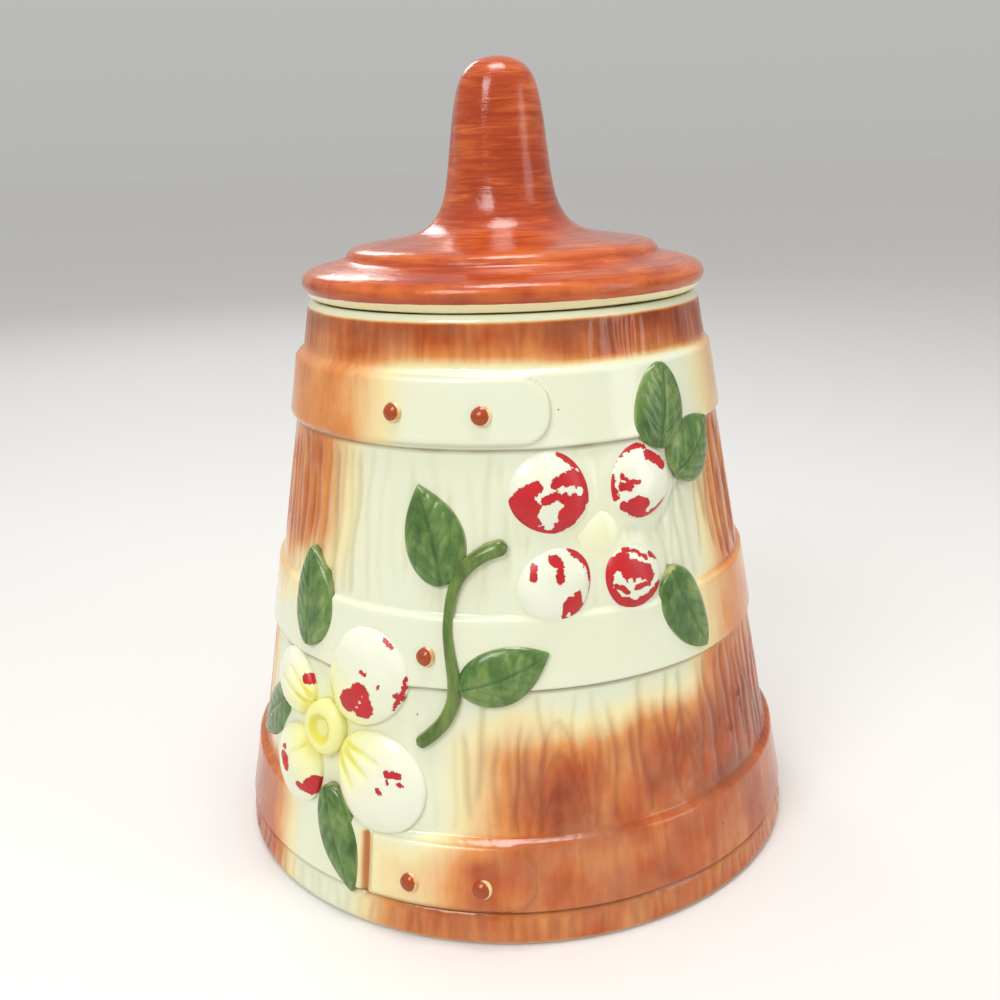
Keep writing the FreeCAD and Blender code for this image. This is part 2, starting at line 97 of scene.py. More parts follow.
LEAVES = {
    "top_leaf_right": ((41.8, 139.2), (57.7, 153.5), 20.5, "top"),
    "top_leaf_left": ((37.6, 147.6), (41.6, 173.4), 21.0, "top"),
    "right_leaf": ((37.0, 110.3), (45.2, 82.8), 17.5, "middle"),
    "upper_leaf": ((-14.7, 111.5), (-21.0, 141.3), 19.5, None),
    "middle_leaf": ((-10.8, 80.8), (7.3, 91.6), 17.5, "middle"),
    "left_leaf": ((-49.6, 84.0), (-51.4, 116.3), 20.5, "middle"),
    "far_left_leaf": ((-58.0, 61.5), (-74.0, 38.5), 17.0, None),
    "low_leaf": ((-40.0, 42.3), (-31.9, 10.8), 15.5, "low"),
}
PETALS = {
    "left_petal_upper_right": ((-37.9, 66.4), (-26.1, 94.0), 29.5, "middle"),
    "left_petal_lower_right": ((-36.0, 59.8), (-20.0, 36.6), 31.0, "middle"),
    "left_petal_lower_left": ((-45.5, 54.5), (-55.0, 33.5), 27.0, "middle"),
    "left_petal_upper_left": ((-46.5, 64.5), (-61.0, 75.0), 20.0, "middle"),
    "right_petal_upper_left": ((16.3, 129.4), (2.3, 147.6), 24.4, None),
    "right_petal_upper_right": ((25.8, 129.6), (38.0, 148.0), 22.4, None),
    "right_petal_lower_left": ((15.7, 120.2), (3.4, 103.0), 21.8, None),
    "right_petal_lower_right": ((22.2, 118.4), (32.6, 103.0), 20.0, None),
}
PETAL_CROWN = 3.6
LEAF_EDGE = 0.9
LEAF_CROWN = 2.3
LEAF_WIDEST = 0.42
BLUNT_LEAVES = ("top_leaf_left_glazed", "right_leaf_glazed")
MIDRIB_DEPTH = 0.55
VEIN_DEPTH = 0.3
VEIN_GAP = 4.9
SUNK = -0.7

LEFT_MIDDLE = {"place": (-42.0, 60.5), "radius": 9.0, "relief": 3.6, "hollow": 5.6, "depth": 2.0}
RIGHT_MIDDLE = {"place": (20.5, 124.4), "radius": 8.0, "relief": 1.3}

STEM_CROWN = 2.4
STEM = (
    (-19.6, 62.1, 4.0),
    (-16.8, 65.4, 4.5),
    (-14.0, 70.0, 4.5),
    (-12.2, 76.0, 4.4),
    (-11.8, 83.0, 4.3),
    (-12.7, 90.5, 3.5),
    (-13.4, 98.0, 3.0),
    (-13.2, 106.0, 3.2),
    (-11.7, 113.5, 4.0),
    (-8.8, 118.8, 4.6),
    (-4.9, 122.3, 5.0),
    (-0.6, 123.9, 5.0),
)

RIVET_RADIUS = 3.1
RIVET_RELIEF = 2.2
RIVETS = (
    (-27.2, 162.7),
    (-5.7, 162.3),
    (-18.0, 90.0),
    (-19.9, 19.7),
    (-6.5, 20.1),
)

# Red paint left on the petals: strokes with a half width and their places, and bare spots in them
# with a radius and a place

PAINT_STROKES = {
    "right_petal_upper_left": (
        (1.2, (12, 150.2), (15, 147.6), (17.8, 144.6), (18.2, 141)),
        (1.9, (18, 141), (16.6, 136), (13.4, 131), (9, 128), (5, 127.8)),
        (1.9, (5, 127.8), (1.8, 131), (0.8, 135.5), (2.6, 139), (6, 141.4)),
        (4, (3.2, 136), (4.6, 133)),
        (2.2, (10.8, 142), (14, 143.6), (16.4, 141.5)),
        (1.6, (8, 137.5), (11, 139), (13, 136.5)),
        (2.9, (14.6, 136), (12.6, 132.4)),
    ),
    "right_petal_upper_right": (
        (0.8, (25.3, 145), (26.6, 147.4), (29, 149), (32, 149.7), (34, 149.3)),
        (1.1, (24.8, 141.5), (24.6, 139), (25.2, 135.6)),
        (1.6, (34.6, 146.8), (36.6, 145), (38.4, 143)),
        (0.7, (27, 142), (28.2, 139.8), (30.6, 139.6)),
        (1.4, (27, 138.6), (28.4, 138.6)),
        (1.5, (27, 132.8), (29.6, 130.4), (33, 128.2), (36, 129.6), (38.4, 130.9)),
        (2.8, (29.4, 132.6), (31.4, 132)),
    ),
    "right_petal_lower_left": (
        (1, (13, 121.8), (15, 119.4), (16.8, 116), (17.5, 111.5), (17, 107), (14.6, 103.2)),
        (1, (4.9, 117.6), (4.7, 114.6)),
        (1.7, (9.2, 119.2), (9.8, 118.8)),
        (1.1, (10.3, 118), (10.2, 113.6)),
        (3.1, (12.8, 105.8), (12.4, 104.2)),
        (1.3, (13.8, 108.6), (13.8, 107)),
        (1.2, (11, 102.6), (13.4, 102.4)),
    ),
    "right_petal_lower_right": (
        (1.5, (25, 117.6), (22.6, 116.4), (21, 113), (21, 108.6), (23, 104.8), (26.5, 102.8)),
        (1.4, (26.5, 102.8), (30, 104.2), (33, 106.8)),
        (1.9, (24, 115.4), (27, 114.6), (30, 112.6), (30.4, 110.6)),
        (2.6, (25.6, 112.8), (28, 112.6)),
        (0.9, (22.4, 109.6), (24.8, 107.4)),
        (0.9, (27, 108.2), (30, 108.8)),
        (0.6, (25.2, 119.6), (28, 118.6), (30.5, 115.8)),
        (0.9, (31.6, 116.6), (33.6, 115.8), (35.4, 113.2)),
    ),
    "left_petal_upper_right": (
        (3.7, (-36, 71.8), (-33.2, 74)),
        (3.4, (-33.4, 75.2), (-32.4, 71)),
        (1.5, (-33.4, 68.6), (-32, 68.8)),
        (0.6, (-23.8, 81.6), (-23.9, 79), (-24.8, 75.2), (-26, 71.8)),
        (1, (-25.4, 76.2), (-24.6, 75.4)),
        (0.5, (-28.8, 92.4), (-26.9, 90.4)),
        (0.7, (-33, 82), (-32.2, 81.6)),
        (0.4, (-29, 78.8), (-29, 78)),
    ),
    "left_petal_lower_right": (
        (1.1, (-26.4, 51.2), (-24.2, 51.2)),
        (0.8, (-24, 48.6), (-23.6, 48.2)),
        (0.9, (-28.2, 45.6), (-27.8, 45)),
        (0.4, (-26.4, 49.4), (-26.2, 48.4)),
    ),
    "left_petal_lower_left": (
        (1.4, (-51, 35.4), (-48, 34.6), (-44.8, 36), (-42.4, 39), (-41.6, 41.4)),
        (2.2, (-48.4, 36.6), (-47, 38.4)),
        (2, (-57.2, 41.6), (-56, 39.2)),
        (0.8, (-57.6, 44.6), (-56.8, 45)),
    ),
    "left_petal_upper_left": (
        (1.5, (-52, 71.4), (-49.4, 71.2)),
    ),
}
BARE_SPOTS = {
    "right_petal_upper_left": ((1.1, 11.5, 140.3), (1.3, 15.6, 139.2), (2.7, 8.2, 133), (1.4, 8.4, 129.6)),
    "right_petal_upper_right": ((1, 33.2, 130.4),),
    "right_petal_lower_left": ((0.7, 11.8, 102.6),),
    "right_petal_lower_right": ((0.9, 25.6, 110.4), (0.9, 27.4, 110.2)),
    "left_petal_upper_right": ((0.5, -33.8, 70.6), (0.4, -33.2, 72.4), (0.4, -32.6, 74.4)),
}
UNPAINTED = -9.0

# How far the marks move where a petal stands out towards the camera

PAINT_SHIFT = {
    "left_petal_upper_right": (1.7, 1.2),
    "left_petal_lower_right": (1.7, 1.8),
    "left_petal_lower_left": (3.8, 3),
    "left_petal_upper_left": (3.6, 2),
    "right_petal_upper_right": (-0.8, 0),
}

# Furrows that run out from the left flower's middle: half width, depth and places

FURROWS = {
    "left_petal_lower_right": (
        (1.2, 0.9, (-34.4, 58.4), (-31, 57.2), (-27.6, 55.2)),
        (1.3, 1, (-34.8, 56), (-32.4, 53.2), (-30, 50.6)),
        (1.3, 0.9, (-36.6, 54), (-34.6, 49.6), (-33, 45.6)),
    ),
    "left_petal_upper_left": (
        (1, 0.8, (-47, 65.8), (-52, 68.4), (-56, 70.4)),
        (1, 0.8, (-47, 68.6), (-50, 72), (-53.6, 75)),
    ),
    "left_petal_upper_right": ((1.6, 0.7, (-39.6, 70), (-40.4, 76), (-39.4, 83)),),
    "left_petal_lower_left": ((1, 0.6, (-47, 52), (-50, 48), (-52.4, 44)),),
}
FURROW_STRENGTH = 0.8

# Yellow round the left and the right flower's middle: how strong and how far it reaches

WALL_YELLOW = (1, 15, 0.55, 9)
PETAL_YELLOW = (1.15, 21, 0.5, 10)

# The crease at the right edge of the swelling round the right flower

APRON_CREASE = (
    (47, 134.5),
    (43, 134),
    (38, 126),
    (35.5, 124),
    (37, 121),
    (38.5, 113),
    (37.5, 109.5),
)

# Wood grain: the bottom and top of each zone, how deep its grooves are and how far apart, and the
# seed of its random draws. In a short zone every groove runs right through.

GRAIN_ZONES = (
    (35, 79, 0.75, 4.3, 11),
    (103.6, 151, 0.85, 4.2, 12),
    (175.6, 187.4, 0.34, 2.7, 13),
    (1.6, 9.4, 0.42, 3, 14),
)
SHORT_ZONE = 15
GRAIN_END = 8

# Nested arches in the grain: angle and height of the uppermost tip, half width in degrees, height

ARCHES = (
    (8.5, 78, 5.4, 26),
    (37, 72, 4.6, 20),
    (118, 78, 6.5, 28),
    (171, 146, 6, 26),
    (-128, 76, 6, 26),
    (-98, 146, 5.5, 24),
)
ARCH_DEPTH = 0.55
ARCHES_TO_A_HEIGHT = 2.6

# Where the grain was left fainter: how much, and the angles and heights at which that starts, is
# full, fades and ends

SMOOTH_AREAS = (
    (0.62, (-36, -30, 37, 42), (100, 103, 152, 156)),
    (0.8, (-74, -66, -18, -12), (34, 38, 80, 84)),
)

# Glaze drips and knots, and how high or deep the rest of the relief is

DRIPS = ((-47, 155), (-39, 174.6), (29, 66.5))
KNOTS = ((28.5, 63.5), (52, 49), (57.5, 58.5), (140, 58), (-150, 128))
APRON_RELIEF = 0.9
CREASE_DEPTH = 0.9
DRIP_RELIEF = 0.5
SWELL_RELIEF = 0.28
RIPPLE_RELIEF = 0.35
GROOVE_FULL = 0.7

# Helpers for places on the wall

NOISE_ROWS = 128


def ramp(value, start, end):
    """0 before start and 1 after end, with a smooth way between."""
    share = np.clip((value - start) / (end - start), 0, 1)
    return share * share * (3 - 2 * share)


def window(value, start, full, fade, end):
    """1 from full to fade, with a smooth way up from start and down to end."""
    return ramp(value, start, full) * (1 - ramp(value, fade, end))


def bell(value, width):
    """1 where the value is 0, falling off smoothly to both sides."""
    return np.exp(-((value / width) ** 2))


def wall_radius(height):
    return FOOT_RADIUS - SLOPE * height


def mm_per_degree(height):
    return math.pi / 180 * wall_radius(height)


def surface_points(angle, height, proud):
    """Points in metres, so far proud of the stave wall."""
    turn = np.radians(angle)
    radius = (wall_radius(height) + proud) * MM
    return np.stack([radius * np.sin(turn), -radius * np.cos(turn), height * MM], axis=-1)


def distance(angle, height, place):
    """Distance in mm along the wall from a place."""
    run = (angle - place[0]) * mm_per_degree(place[1])
    return np.hypot(run, height - place[1])


def stroke_distance(angle, height, places):
    """Distance in mm along the wall from a line through some places."""
    nearest = np.full(np.shape(angle), np.inf)
    for start, end in zip(places, places[1:]):
        scale = mm_per_degree((start[1] + end[1]) / 2)
        run, rise = (end[0] - start[0]) * scale, end[1] - start[1]
        across, up = (angle - start[0]) * scale, height - start[1]
        share = np.clip((across * run + up * rise) / (run * run + rise * rise), 0, 1)
        nearest = np.minimum(nearest, np.hypot(across - share * run, up - share * rise))
    return nearest


def smooth_noise(across, up, seed, period=512):
    """Noise from 0 to 1 over a plane, with one feature to a unit, repeating after a period."""
    table = np.random.default_rng(seed).random((period, NOISE_ROWS))
    left, low = np.floor(across).astype(int), np.floor(up).astype(int)
    x, y = across - left, up - low
    x, y = x * x * (3 - 2 * x), y * y * (3 - 2 * y)

    def at(i, j):
        return table[(left + i) % period, (low + j) % NOISE_ROWS]

    lower = at(0, 0) * (1 - x) + at(1, 0) * x
    upper = at(0, 1) * (1 - x) + at(1, 1) * x
    return lower * (1 - y) + upper * y


def wall_noise(angle, height, count, rise, seed):
    """Noise from -0.5 to 0.5 on the wall, with so many features round it, each so tall in mm."""
    return smooth_noise(angle * count / 360, height / rise, seed, count) - 0.5


# Relief of the jar's wall


def hoop_relief(height):
    edge = FOOT_BAND["top"]
    relief = FOOT_BAND["relief"] * (1 - ramp(height, edge - 0.5, edge + 0.5))
    for hoop in HOOPS.values():
        low, high = hoop["bottom"], hoop["bottom"] + HOOP_HEIGHT
        relief = relief + hoop["relief"] * window(height, low - 0.25, low + 0.55, high - 1.1, high + 0.6)
    return relief


def lap_relief(angle, height):
    """The plates of the laps, each with a free end with round corners on the right."""
    relief = 0.0
    for name, (rise, end) in LAPS.items():
        middle = HOOPS[name]["bottom"] + HOOP_HEIGHT / 2
        half = HOOP_HEIGHT / 2 - LAP_MARGIN
        beyond = (angle - end) * mm_per_degree(middle) + LAP_CORNER
        above = np.abs(height - middle) - half + LAP_CORNER
        outside = np.hypot(np.maximum(beyond, 0), np.maximum(above, 0))
        edge = outside + np.minimum(np.maximum(beyond, above), 0) - LAP_CORNER
        relief = relief + LAP_RELIEF * ((1 - ramp(edge, -1.2, 0.5)) * ramp(angle, *rise))
    return relief


def petal_frame(base, tip, width):
    """Middle, direction and half sizes of a petal's oval."""
    scale = mm_per_degree((base[1] + tip[1]) / 2)
    run, rise = (tip[0] - base[0]) * scale, tip[1] - base[1]
    length = math.hypot(run, rise)
    middle = ((base[0] + tip[0]) / 2, (base[1] + tip[1]) / 2)
    return middle, (run / length, rise / length), length / 2, width / 2


def oval_place(middle, along, forward, sideways):
    """Angle and height of a point so far forward and sideways of an oval's middle."""
    angle = middle[0] + (forward * along[0] + sideways * along[1]) / mm_per_degree(middle[1])
    return angle, middle[1] + forward * along[1] - sideways * along[0]


def petal_apron(angle, height):
    """The low swelling that each petal stands on, from 0 to 1."""
    apron = np.zeros(np.shape(angle))
    for base, tip, width, _ in PETALS.values():
        middle, along, half_long, half_wide = petal_frame(base, tip, width)
        across = (angle - middle[0]) * mm_per_degree(middle[1])
        up = height - middle[1]
        forward = across * along[0] + up * along[1]
        sideways = across * along[1] - up * along[0]
        outside = np.hypot(forward / (half_long + 3.0), sideways / (half_wide + 2.6))
        apron = np.maximum(apron, 1 - ramp(outside, 0.8, 1.24))
    return apron


def plain_area(angle, height):
    """Where the wall was left smooth: hoops, laps, around the flowers and most of the front."""
    plain = petal_apron(angle, height)
    for hoop in HOOPS.values():
        low, high = hoop["bottom"], hoop["bottom"] + HOOP_HEIGHT
        plain = np.maximum(plain, window(height, low - 2.4, low - 0.4, high, high + 2.2))
    for strength, angles, heights in SMOOTH_AREAS:
        plain = np.maximum(plain, strength * window(angle, *angles) * window(height, *heights))
    return plain


def grain_grooves(angles, heights):
    """Depth of the wood grain over a grid of angles and heights, from wavering upright grooves."""
    depth = np.zeros((len(heights), len(angles)))
    for low, high, deepest, gap, seed in GRAIN_ZONES:
        random = np.random.default_rng(seed)
        scale = mm_per_degree((low + high) / 2)
        rows = (heights > low - 2) & (heights < high + 2)
        level = heights[rows][:, None]
        start = angles[0] + 3
        while start < angles[-1] - 6:
            start += gap / scale * random.uniform(0.55, 1.5)
            columns = slice(*np.searchsorted(angles, (start - 4, start + 4)))
            wave = 0.75 * np.sin(level / random.uniform(8, 12) + random.uniform(0, 6.3))
            wave += 0.28 * np.sin(level / random.uniform(3, 5) + random.uniform(0, 6.3))
            foot = low - 6 + 0.4 * (high - low) * random.random() ** 2
            head = high + 6 - 0.4 * (high - low) * random.random() ** 2
            reach = window(level, foot, foot + GRAIN_END, head - GRAIN_END, head)
            if high - low < SHORT_ZONE:
                reach = 1.0
            fall = window(level, low - 0.6, low + 0.8, high - 0.8, high + 0.6)
            away = (angles[None, columns] - start - wave) * scale
            width = random.uniform(0.7, 1.25)
            groove = deepest * random.uniform(0.4, 1.2) * bell(away, width) * reach * fall
            depth[rows, columns] = np.maximum(depth[rows, columns], groove)
    return depth


def arch_grooves(angle, height):
    """Nested pointed arches of grain."""
    depth = np.zeros(np.shape(angle))
    for middle, top, half_width, tall in ARCHES:
        across = (angle - middle) / half_width
        level = across**2 + (height - top) / tall + 1.5
        low = top - 1.7 * tall
        inside = (1 - ramp(np.abs(across), 0.95, 1.2)) * ramp(height, low, low + 0.3 * tall)
        ripple = np.cos(level * 2 * math.pi * ARCHES_TO_A_HEIGHT)
        groove = ARCH_DEPTH * ramp(ripple, 0.3, 1.0) * inside * (1 - ramp(level, 1.3, 1.5))
        depth = np.maximum(depth, groove)
    return depth


def knot_relief(angle, height):
    """Knots, each a small pit with a raised ring round it."""
    relief = np.zeros(np.shape(angle))
    for place in KNOTS:
        away = distance(angle, height, place)
        relief += 0.55 * np.exp(-((away - 1.9) ** 2) / 0.45) - 0.5 * np.exp(-(away**2) / 0.8)
    return relief


def jar_relief(angles, heights):
    """Relief of the jar's outside over a grid, its grooves, and its dark lines of pooled glaze and painted
    shade.
    """
    angle, height = np.meshgrid(angles, heights)
    plain = plain_area(angle, height)
    hoops = hoop_relief(height)
    grooves = np.maximum(grain_grooves(angles, heights), arch_grooves(angle, height)) * (1 - plain)
    grooves = np.maximum(grooves, lap_groove(angle, height))
    ripple = RIPPLE_RELIEF * wall_noise(angle, height, 110, 34, 6) * (1 - plain)
    relief = hoops + lap_relief(angle, height) + SWELL_RELIEF * wall_noise(angle, height, 28, 26, 5)
    relief += ripple * ramp(height, 11, 14)
    relief += APRON_RELIEF * petal_apron(angle, height) * (1 - 0.6 * ramp(hoops, 0.3, 1.4))
    relief += knot_relief(angle, height) * (1 - plain)
    for place in DRIPS:
        relief += DRIP_RELIEF * bell(distance(angle, height, place), 1.7)
    crease = CREASE_DEPTH * bell(stroke_distance(angle, height, APRON_CREASE), 0.9)
    # Dark lines under the hoops and round the laps: pooled glaze with painted shade in them
    lines = np.maximum(hoop_pool_and_shade_line(angle, height), lap_pool_and_shade_line(angle, height))
    return relief - grooves - crease, np.clip(grooves / GROOVE_FULL, 0, 1), lines


def hoop_pool_and_shade_line(angle, height):
    """Glaze pooled in the sharp corner under each hoop, darkened further as painted shade under its
    overhang.
    """
    line = np.zeros(np.shape(height))
    for hoop in HOOPS.values():
        line = np.maximum(line, 1.25 * bell(height - hoop["bottom"] + 0.45, 0.5))
    return np.clip(line * (0.85 + 0.5 * wall_noise(angle, height, 60, 40, 7)), 0, 1)


def lap_pool_and_shade_line(angle, height):
    """Glaze pooled round the edge of each lap, darkened further as painted shade along its step."""
    plate = lap_relief(angle, height) / LAP_RELIEF
    return 0.5 * np.clip(4 * plate * (1 - plate) - 0.2, 0, 1) * ramp(angle, -34, -26)


def lap_groove(angle, height):
    """The upright groove beside the low lap's fixed end."""
    run = (angle - LAP_GROOVE["angle"]) * mm_per_degree(22)
    return LAP_GROOVE["depth"] * bell(run, 1.0) * window(height, *LAP_GROOVE["heights"])


def corner_cut(depth, radius):
    """How far a rounded corner falls back, so deep below its edge."""
    inside = np.clip(radius - depth, 0, radius)
    return radius - np.sqrt(radius**2 - inside**2)


# Airbrushed colour of the jar: patches of brown by angle and height. An edge that is softer than
# SHARP_EDGE wanders up and down.

SHARP_EDGE = 8
BROWN_PATCHES = (
    # strength, angles, heights, softness in degrees, and in mm below and above
    (0.52, (-400, 400), (178.5, 188.2), 1, 4.5, 1),
    (0.62, (-400, 400), (184, 188.2), 1, 6, 1),
    (0.48, (10, 245), (176.8, 188.2), 12, 2.5, 1),
    (0.52, (-120, -33), (152, 178), 12, 1, 6),
    (0.62, (-110, -46), (120, 151.5), 14, 18, 0.8),
    (0.30, (-110, -58), (98, 118), 9, 12, 10),
    (0.62, (56, 250), (103, 151.5), 10, 1, 1),
    (0.34, (60, 240), (152, 178), 12, 1, 4),
    (0.50, (49, 245), (80, 103), 11, 1, 1),
    (0.78, (3, 15), (34, 52), 7, 1, 15),
    (0.52, (-8, 255), (34, 60), 10, 1, 18),
    (0.56, (22, 255), (34, 57), 10, 1, 17),
    (0.62, (45, 255), (34, 79), 8, 1, 2),
    (0.76, (-9, 250), (11.3, 34), 13, 0.6, 1),
    (0.22, (-30, -6), (11.3, 26), 8, 0.6, 12),
    (0.62, (-10, -3), (14, 26), 4, 5, 7),
    (0.66, (-28, 250), (-9, 11), 8, 1, 0.6),
    (0.52, (-30.5, -28.7), (11, 31.5), 0.8, 1, 1),
    (0.76, (-110, -54), (-9, 34), 8, 1, 9),
    (0.42, (-110, -72), (34, 79), 8, 1, 6),
)


def brown_amount(angle, height):
    """How much brown the airbrush left, from 0 to 1."""
    cream = np.ones(np.shape(angle))
    streak = wall_noise(angle, height, 400, 30, 21)
    cloud = wall_noise(angle, height, 52, 9, 22)
    wandering = height + 2.6 * streak + 6 * cloud
    for strength, angles, (low, high), soft_angle, below, above in BROWN_PATCHES:
        middle, half = sum(angles) / 2, (angles[1] - angles[0]) / 2
        away = np.abs((angle - middle + 180) % 360 - 180)
        lower = wandering if below > SHARP_EDGE else height
        upper = wandering if above > SHARP_EDGE else height
        patch = 1 - ramp(away, half - soft_angle, half + soft_angle)
        patch = patch * ramp(lower, low - below, low + below / 3)
        patch = patch * (1 - ramp(upper, high - above / 3, high + above))
        cream = cream * (1 - strength * patch)
    brown = (1 - cream) * (1 - 0.97 * ramp(height, RIM_LIP - 0.4, RIM_LIP + 0.5))
    return np.clip(brown * (1 + 0.3 * cloud + 0.1 * streak), 0, 1)


# Meshes


def add_attribute(mesh, name, values):
    attribute = mesh.attributes.new(name, "FLOAT", "POINT")
    attribute.data.foreach_set("value", np.ascontiguousarray(values, dtype=np.float32).ravel())


def link_object(name, data):
    item = bpy.data.objects.new(name, data)
    bpy.context.scene.collection.objects.link(item)
    return item


def make_object(name, points, faces, values):
    """A smooth mesh object with a value of each name at every point."""
    mesh = bpy.data.meshes.new(name)
    mesh.from_pydata(points.tolist(), [], faces)
    shell = bmesh.new()
    shell.from_mesh(mesh)
    bmesh.ops.recalc_face_normals(shell, faces=shell.faces)
    shell.to_mesh(mesh)
    shell.free()
    for key, value in values.items():
        add_attribute(mesh, key, value)
    mesh.shade_smooth()
    return link_object(name, mesh)


def ring_faces(rows, columns):
    """Quads between the rows of a grid whose columns run all the way round."""
    faces = []
    for row in range(rows - 1):
        for column in range(columns):
            after = (column + 1) % columns
            low, high = row * columns, (row + 1) * columns
            faces.append((low + column, low + after, high + after, high + column))
    return faces


def cap_faces(start, count, centre):
    """Triangles from a ring of points to its centre."""
    return [(centre, start + k, start + (k + 1) % count) for k in range(count)]


def with_ends(value):
    """A grid's values in one row, followed by those for the centres of its first and last ring."""
    return np.concatenate([value.ravel(), [value[0].mean(), value[-1].mean()]])


def turned_object(name, radius, height, angles, values):
    """A closed turned body. Its profile runs from the axis to the axis, as rows of radius and height
    in mm with one number for each angle."""
    turn = np.radians(angles)[None, :]
    points = np.stack([radius * np.sin(turn), -radius * np.cos(turn), height], axis=-1) * MM
    rows, columns = radius.shape
    ends = np.array([[0, 0, points[0, :, 2].mean()], [0, 0, points[-1, :, 2].mean()]])
    faces = ring_faces(rows, columns)
    faces += cap_faces(0, columns, rows * columns)
    faces += cap_faces((rows - 1) * columns, columns, rows * columns + 1)
    values = {key: with_ends(value) for key, value in values.items()}
    return make_object(name, np.concatenate([points.reshape(-1, 3), ends]), faces, values)


def jar_angles():
    """Angles round the jar, closer together over the decorated front."""
    front = np.arange(-FRONT_REACH, FRONT_REACH, FRONT_STEP)
    back = np.arange(FRONT_REACH, 360 - FRONT_REACH, BACK_STEP)
    angles = np.concatenate([front, back])
    return np.sort(np.where(angles > 180, angles - 360, angles))


def jar_heights():
    """Heights of the rows outside, closer together on the lapped hoops and at edges and corners."""
    lapped = [HOOPS[name]["bottom"] for name in LAPS]
    rows = [
        row
        for row in np.arange(4.5, JAR_HEIGHT - 3, ROW_STEP)
        if not any(0 < row - low < HOOP_HEIGHT for low in lapped)
    ]
    for low in lapped:
        rows += list(np.arange(low + 1.6, low + HOOP_HEIGHT - 1.2, LAPPED_ROW_STEP))
    rows += [0, 0.25, 0.7, 1.3, 2.1, 3.0, 3.8]
    rows += [JAR_HEIGHT - below for below in (0, 0.15, 0.5, 1.0, 1.6, 2.2, 2.8)]
    for hoop in HOOPS.values():
        rows += [hoop["bottom"] + step for step in (-0.9, -0.25, 0.15, 0.55, 1.1)]
        rows += [hoop["bottom"] + HOOP_HEIGHT + step for step in (-1.1, -0.5, 0.1, 0.6)]
    rows.sort()
    kept = rows[:1]
    for row in rows[1:]:
        if row - kept[-1] > LEAST_ROW_STEP:
            kept.append(row)
    return np.array(kept)


def underside_rows():
    """Radius and height of the rows under the jar, from the middle to the edge of the foot ring."""
    inner, outer = FOOT_RING
    recess = [(reach, FOOT_RECESS) for reach in (30.0, 60.0, inner - 1.5)]
    return recess + [(inner - 0.4, 1.2), (inner, 0.4), (inner + 0.6, 0.0), (outer, 0.0)]


def inside_rows():
    """Radius and height of the rows inside the jar, from its rim to the middle of its floor."""

    def inner(level):
        return wall_radius(level) - WALL

    rows = []
    for share in (0.35, 0.65, 0.85, 1.0):
        turn = share * math.pi / 2
        drop = RIM_INNER_ROUND * (1 - math.sin(math.pi / 2 - turn))
        rows.append((inner(JAR_HEIGHT) + RIM_INNER_ROUND * (1 - math.sin(turn)), JAR_HEIGHT - drop))
    for level in np.linspace(JAR_HEIGHT - 6, FLOOR + FLOOR_ROUND, 6):
        rows.append((inner(level), level))
    for turn in np.linspace(0.25, 1.0, 4) * math.pi / 2:
        level = FLOOR + FLOOR_ROUND * (1 - math.sin(turn))
        rows.append((inner(FLOOR) - FLOOR_ROUND * (1 - math.cos(turn)), level))
    return rows + [(60.0, FLOOR), (30.0, FLOOR)]


def make_jar():
    angles, heights = jar_angles(), jar_heights()
    relief, grooves, lines = jar_relief(angles, heights)
    angle, height = np.meshgrid(angles, heights)
    outside = wall_radius(height) + relief
    outside -= corner_cut(height, FOOT_ROUND) + corner_cut(JAR_HEIGHT - height, RIM_ROUND)

    below, inside = np.array(underside_rows()), np.array(inside_rows())
    columns = np.ones(len(angles))
    radius = np.concatenate([np.outer(below[:, 0], columns), outside, np.outer(inside[:, 0], columns)])
    level = np.concatenate([np.outer(below[:, 1], columns), height, np.outer(inside[:, 1], columns)])

    yellow = np.clip(flower_yellow(angle, height, *WALL_YELLOW), 0, 1)
    brown, bare = brown_amount(angle, height), 1 - ramp(height, 0.3, 1.6)
    # The line value holds the dark lines under the hoops and round the laps: pooled glaze with painted
    # shade
    values = {"brown": brown, "groove": grooves, "line": lines, "bare": bare, "yellow": yellow}
    around = ((len(below), len(inside)), (0, 0))
    values = {key: np.pad(value, around) for key, value in values.items()}
    values["bare"][: len(below)] = 1
    return turned_object("jar", radius, level, angles, values)


def flower_yellow(angle, height, left, left_reach, right, right_reach):
    """Yellow brushed round the middles of the flowers."""
    near_left = left * bell(distance(angle, height, LEFT_MIDDLE["place"]), left_reach)
    return near_left + right * bell(distance(angle, height, RIGHT_MIDDLE["place"]), right_reach)


def round_patch(name, middle, along, half_long, half_wide, proud_at, values_at, rings=34, spokes=120):
    """An oval piece that stands on the wall. proud_at gives its height for a share of the way out
    and a place, and it is closed by a skirt and a cap inside the wall."""
    share = np.linspace(0, 1, rings + 1)[1:] ** 0.8
    turn = np.linspace(0, 2 * math.pi, spokes, endpoint=False)
    share, turn = np.meshgrid(share, turn, indexing="ij")
    forward = share * half_long * np.cos(turn)
    sideways = share * half_wide * np.sin(turn) * (1 + 0.1 * np.cos(turn))
    angle, height = oval_place(middle, along, forward, sideways)
    proud = proud_at(share, angle, height)
    proud[-1] = SUNK
    centre = (np.full((1, 1), middle[0]), np.full((1, 1), middle[1]))
    top = surface_points(*centre, proud_at(np.zeros((1, 1)), *centre))
    bottom = surface_points(*centre, np.full((1, 1), 2 * SUNK))
    ring_points = surface_points(angle, height, proud).reshape(-1, 3)
    points = np.concatenate([ring_points, top.reshape(1, 3), bottom.reshape(1, 3)])
    count = rings * spokes
    faces = ring_faces(rings, spokes)
    faces += cap_faces(0, spokes, count)
    faces += cap_faces(count - spokes, spokes, count + 1)
    values = {key: with_ends(value) for key, value in values_at(share, angle, height).items()}
    return make_object(name, points, faces, values)


def round_boss(name, place, radius, proud_at, values_at, **grid):
    """A round piece that stands on the wall."""
    return round_patch(name, place, (1, 0), radius, radius, proud_at, values_at, **grid)


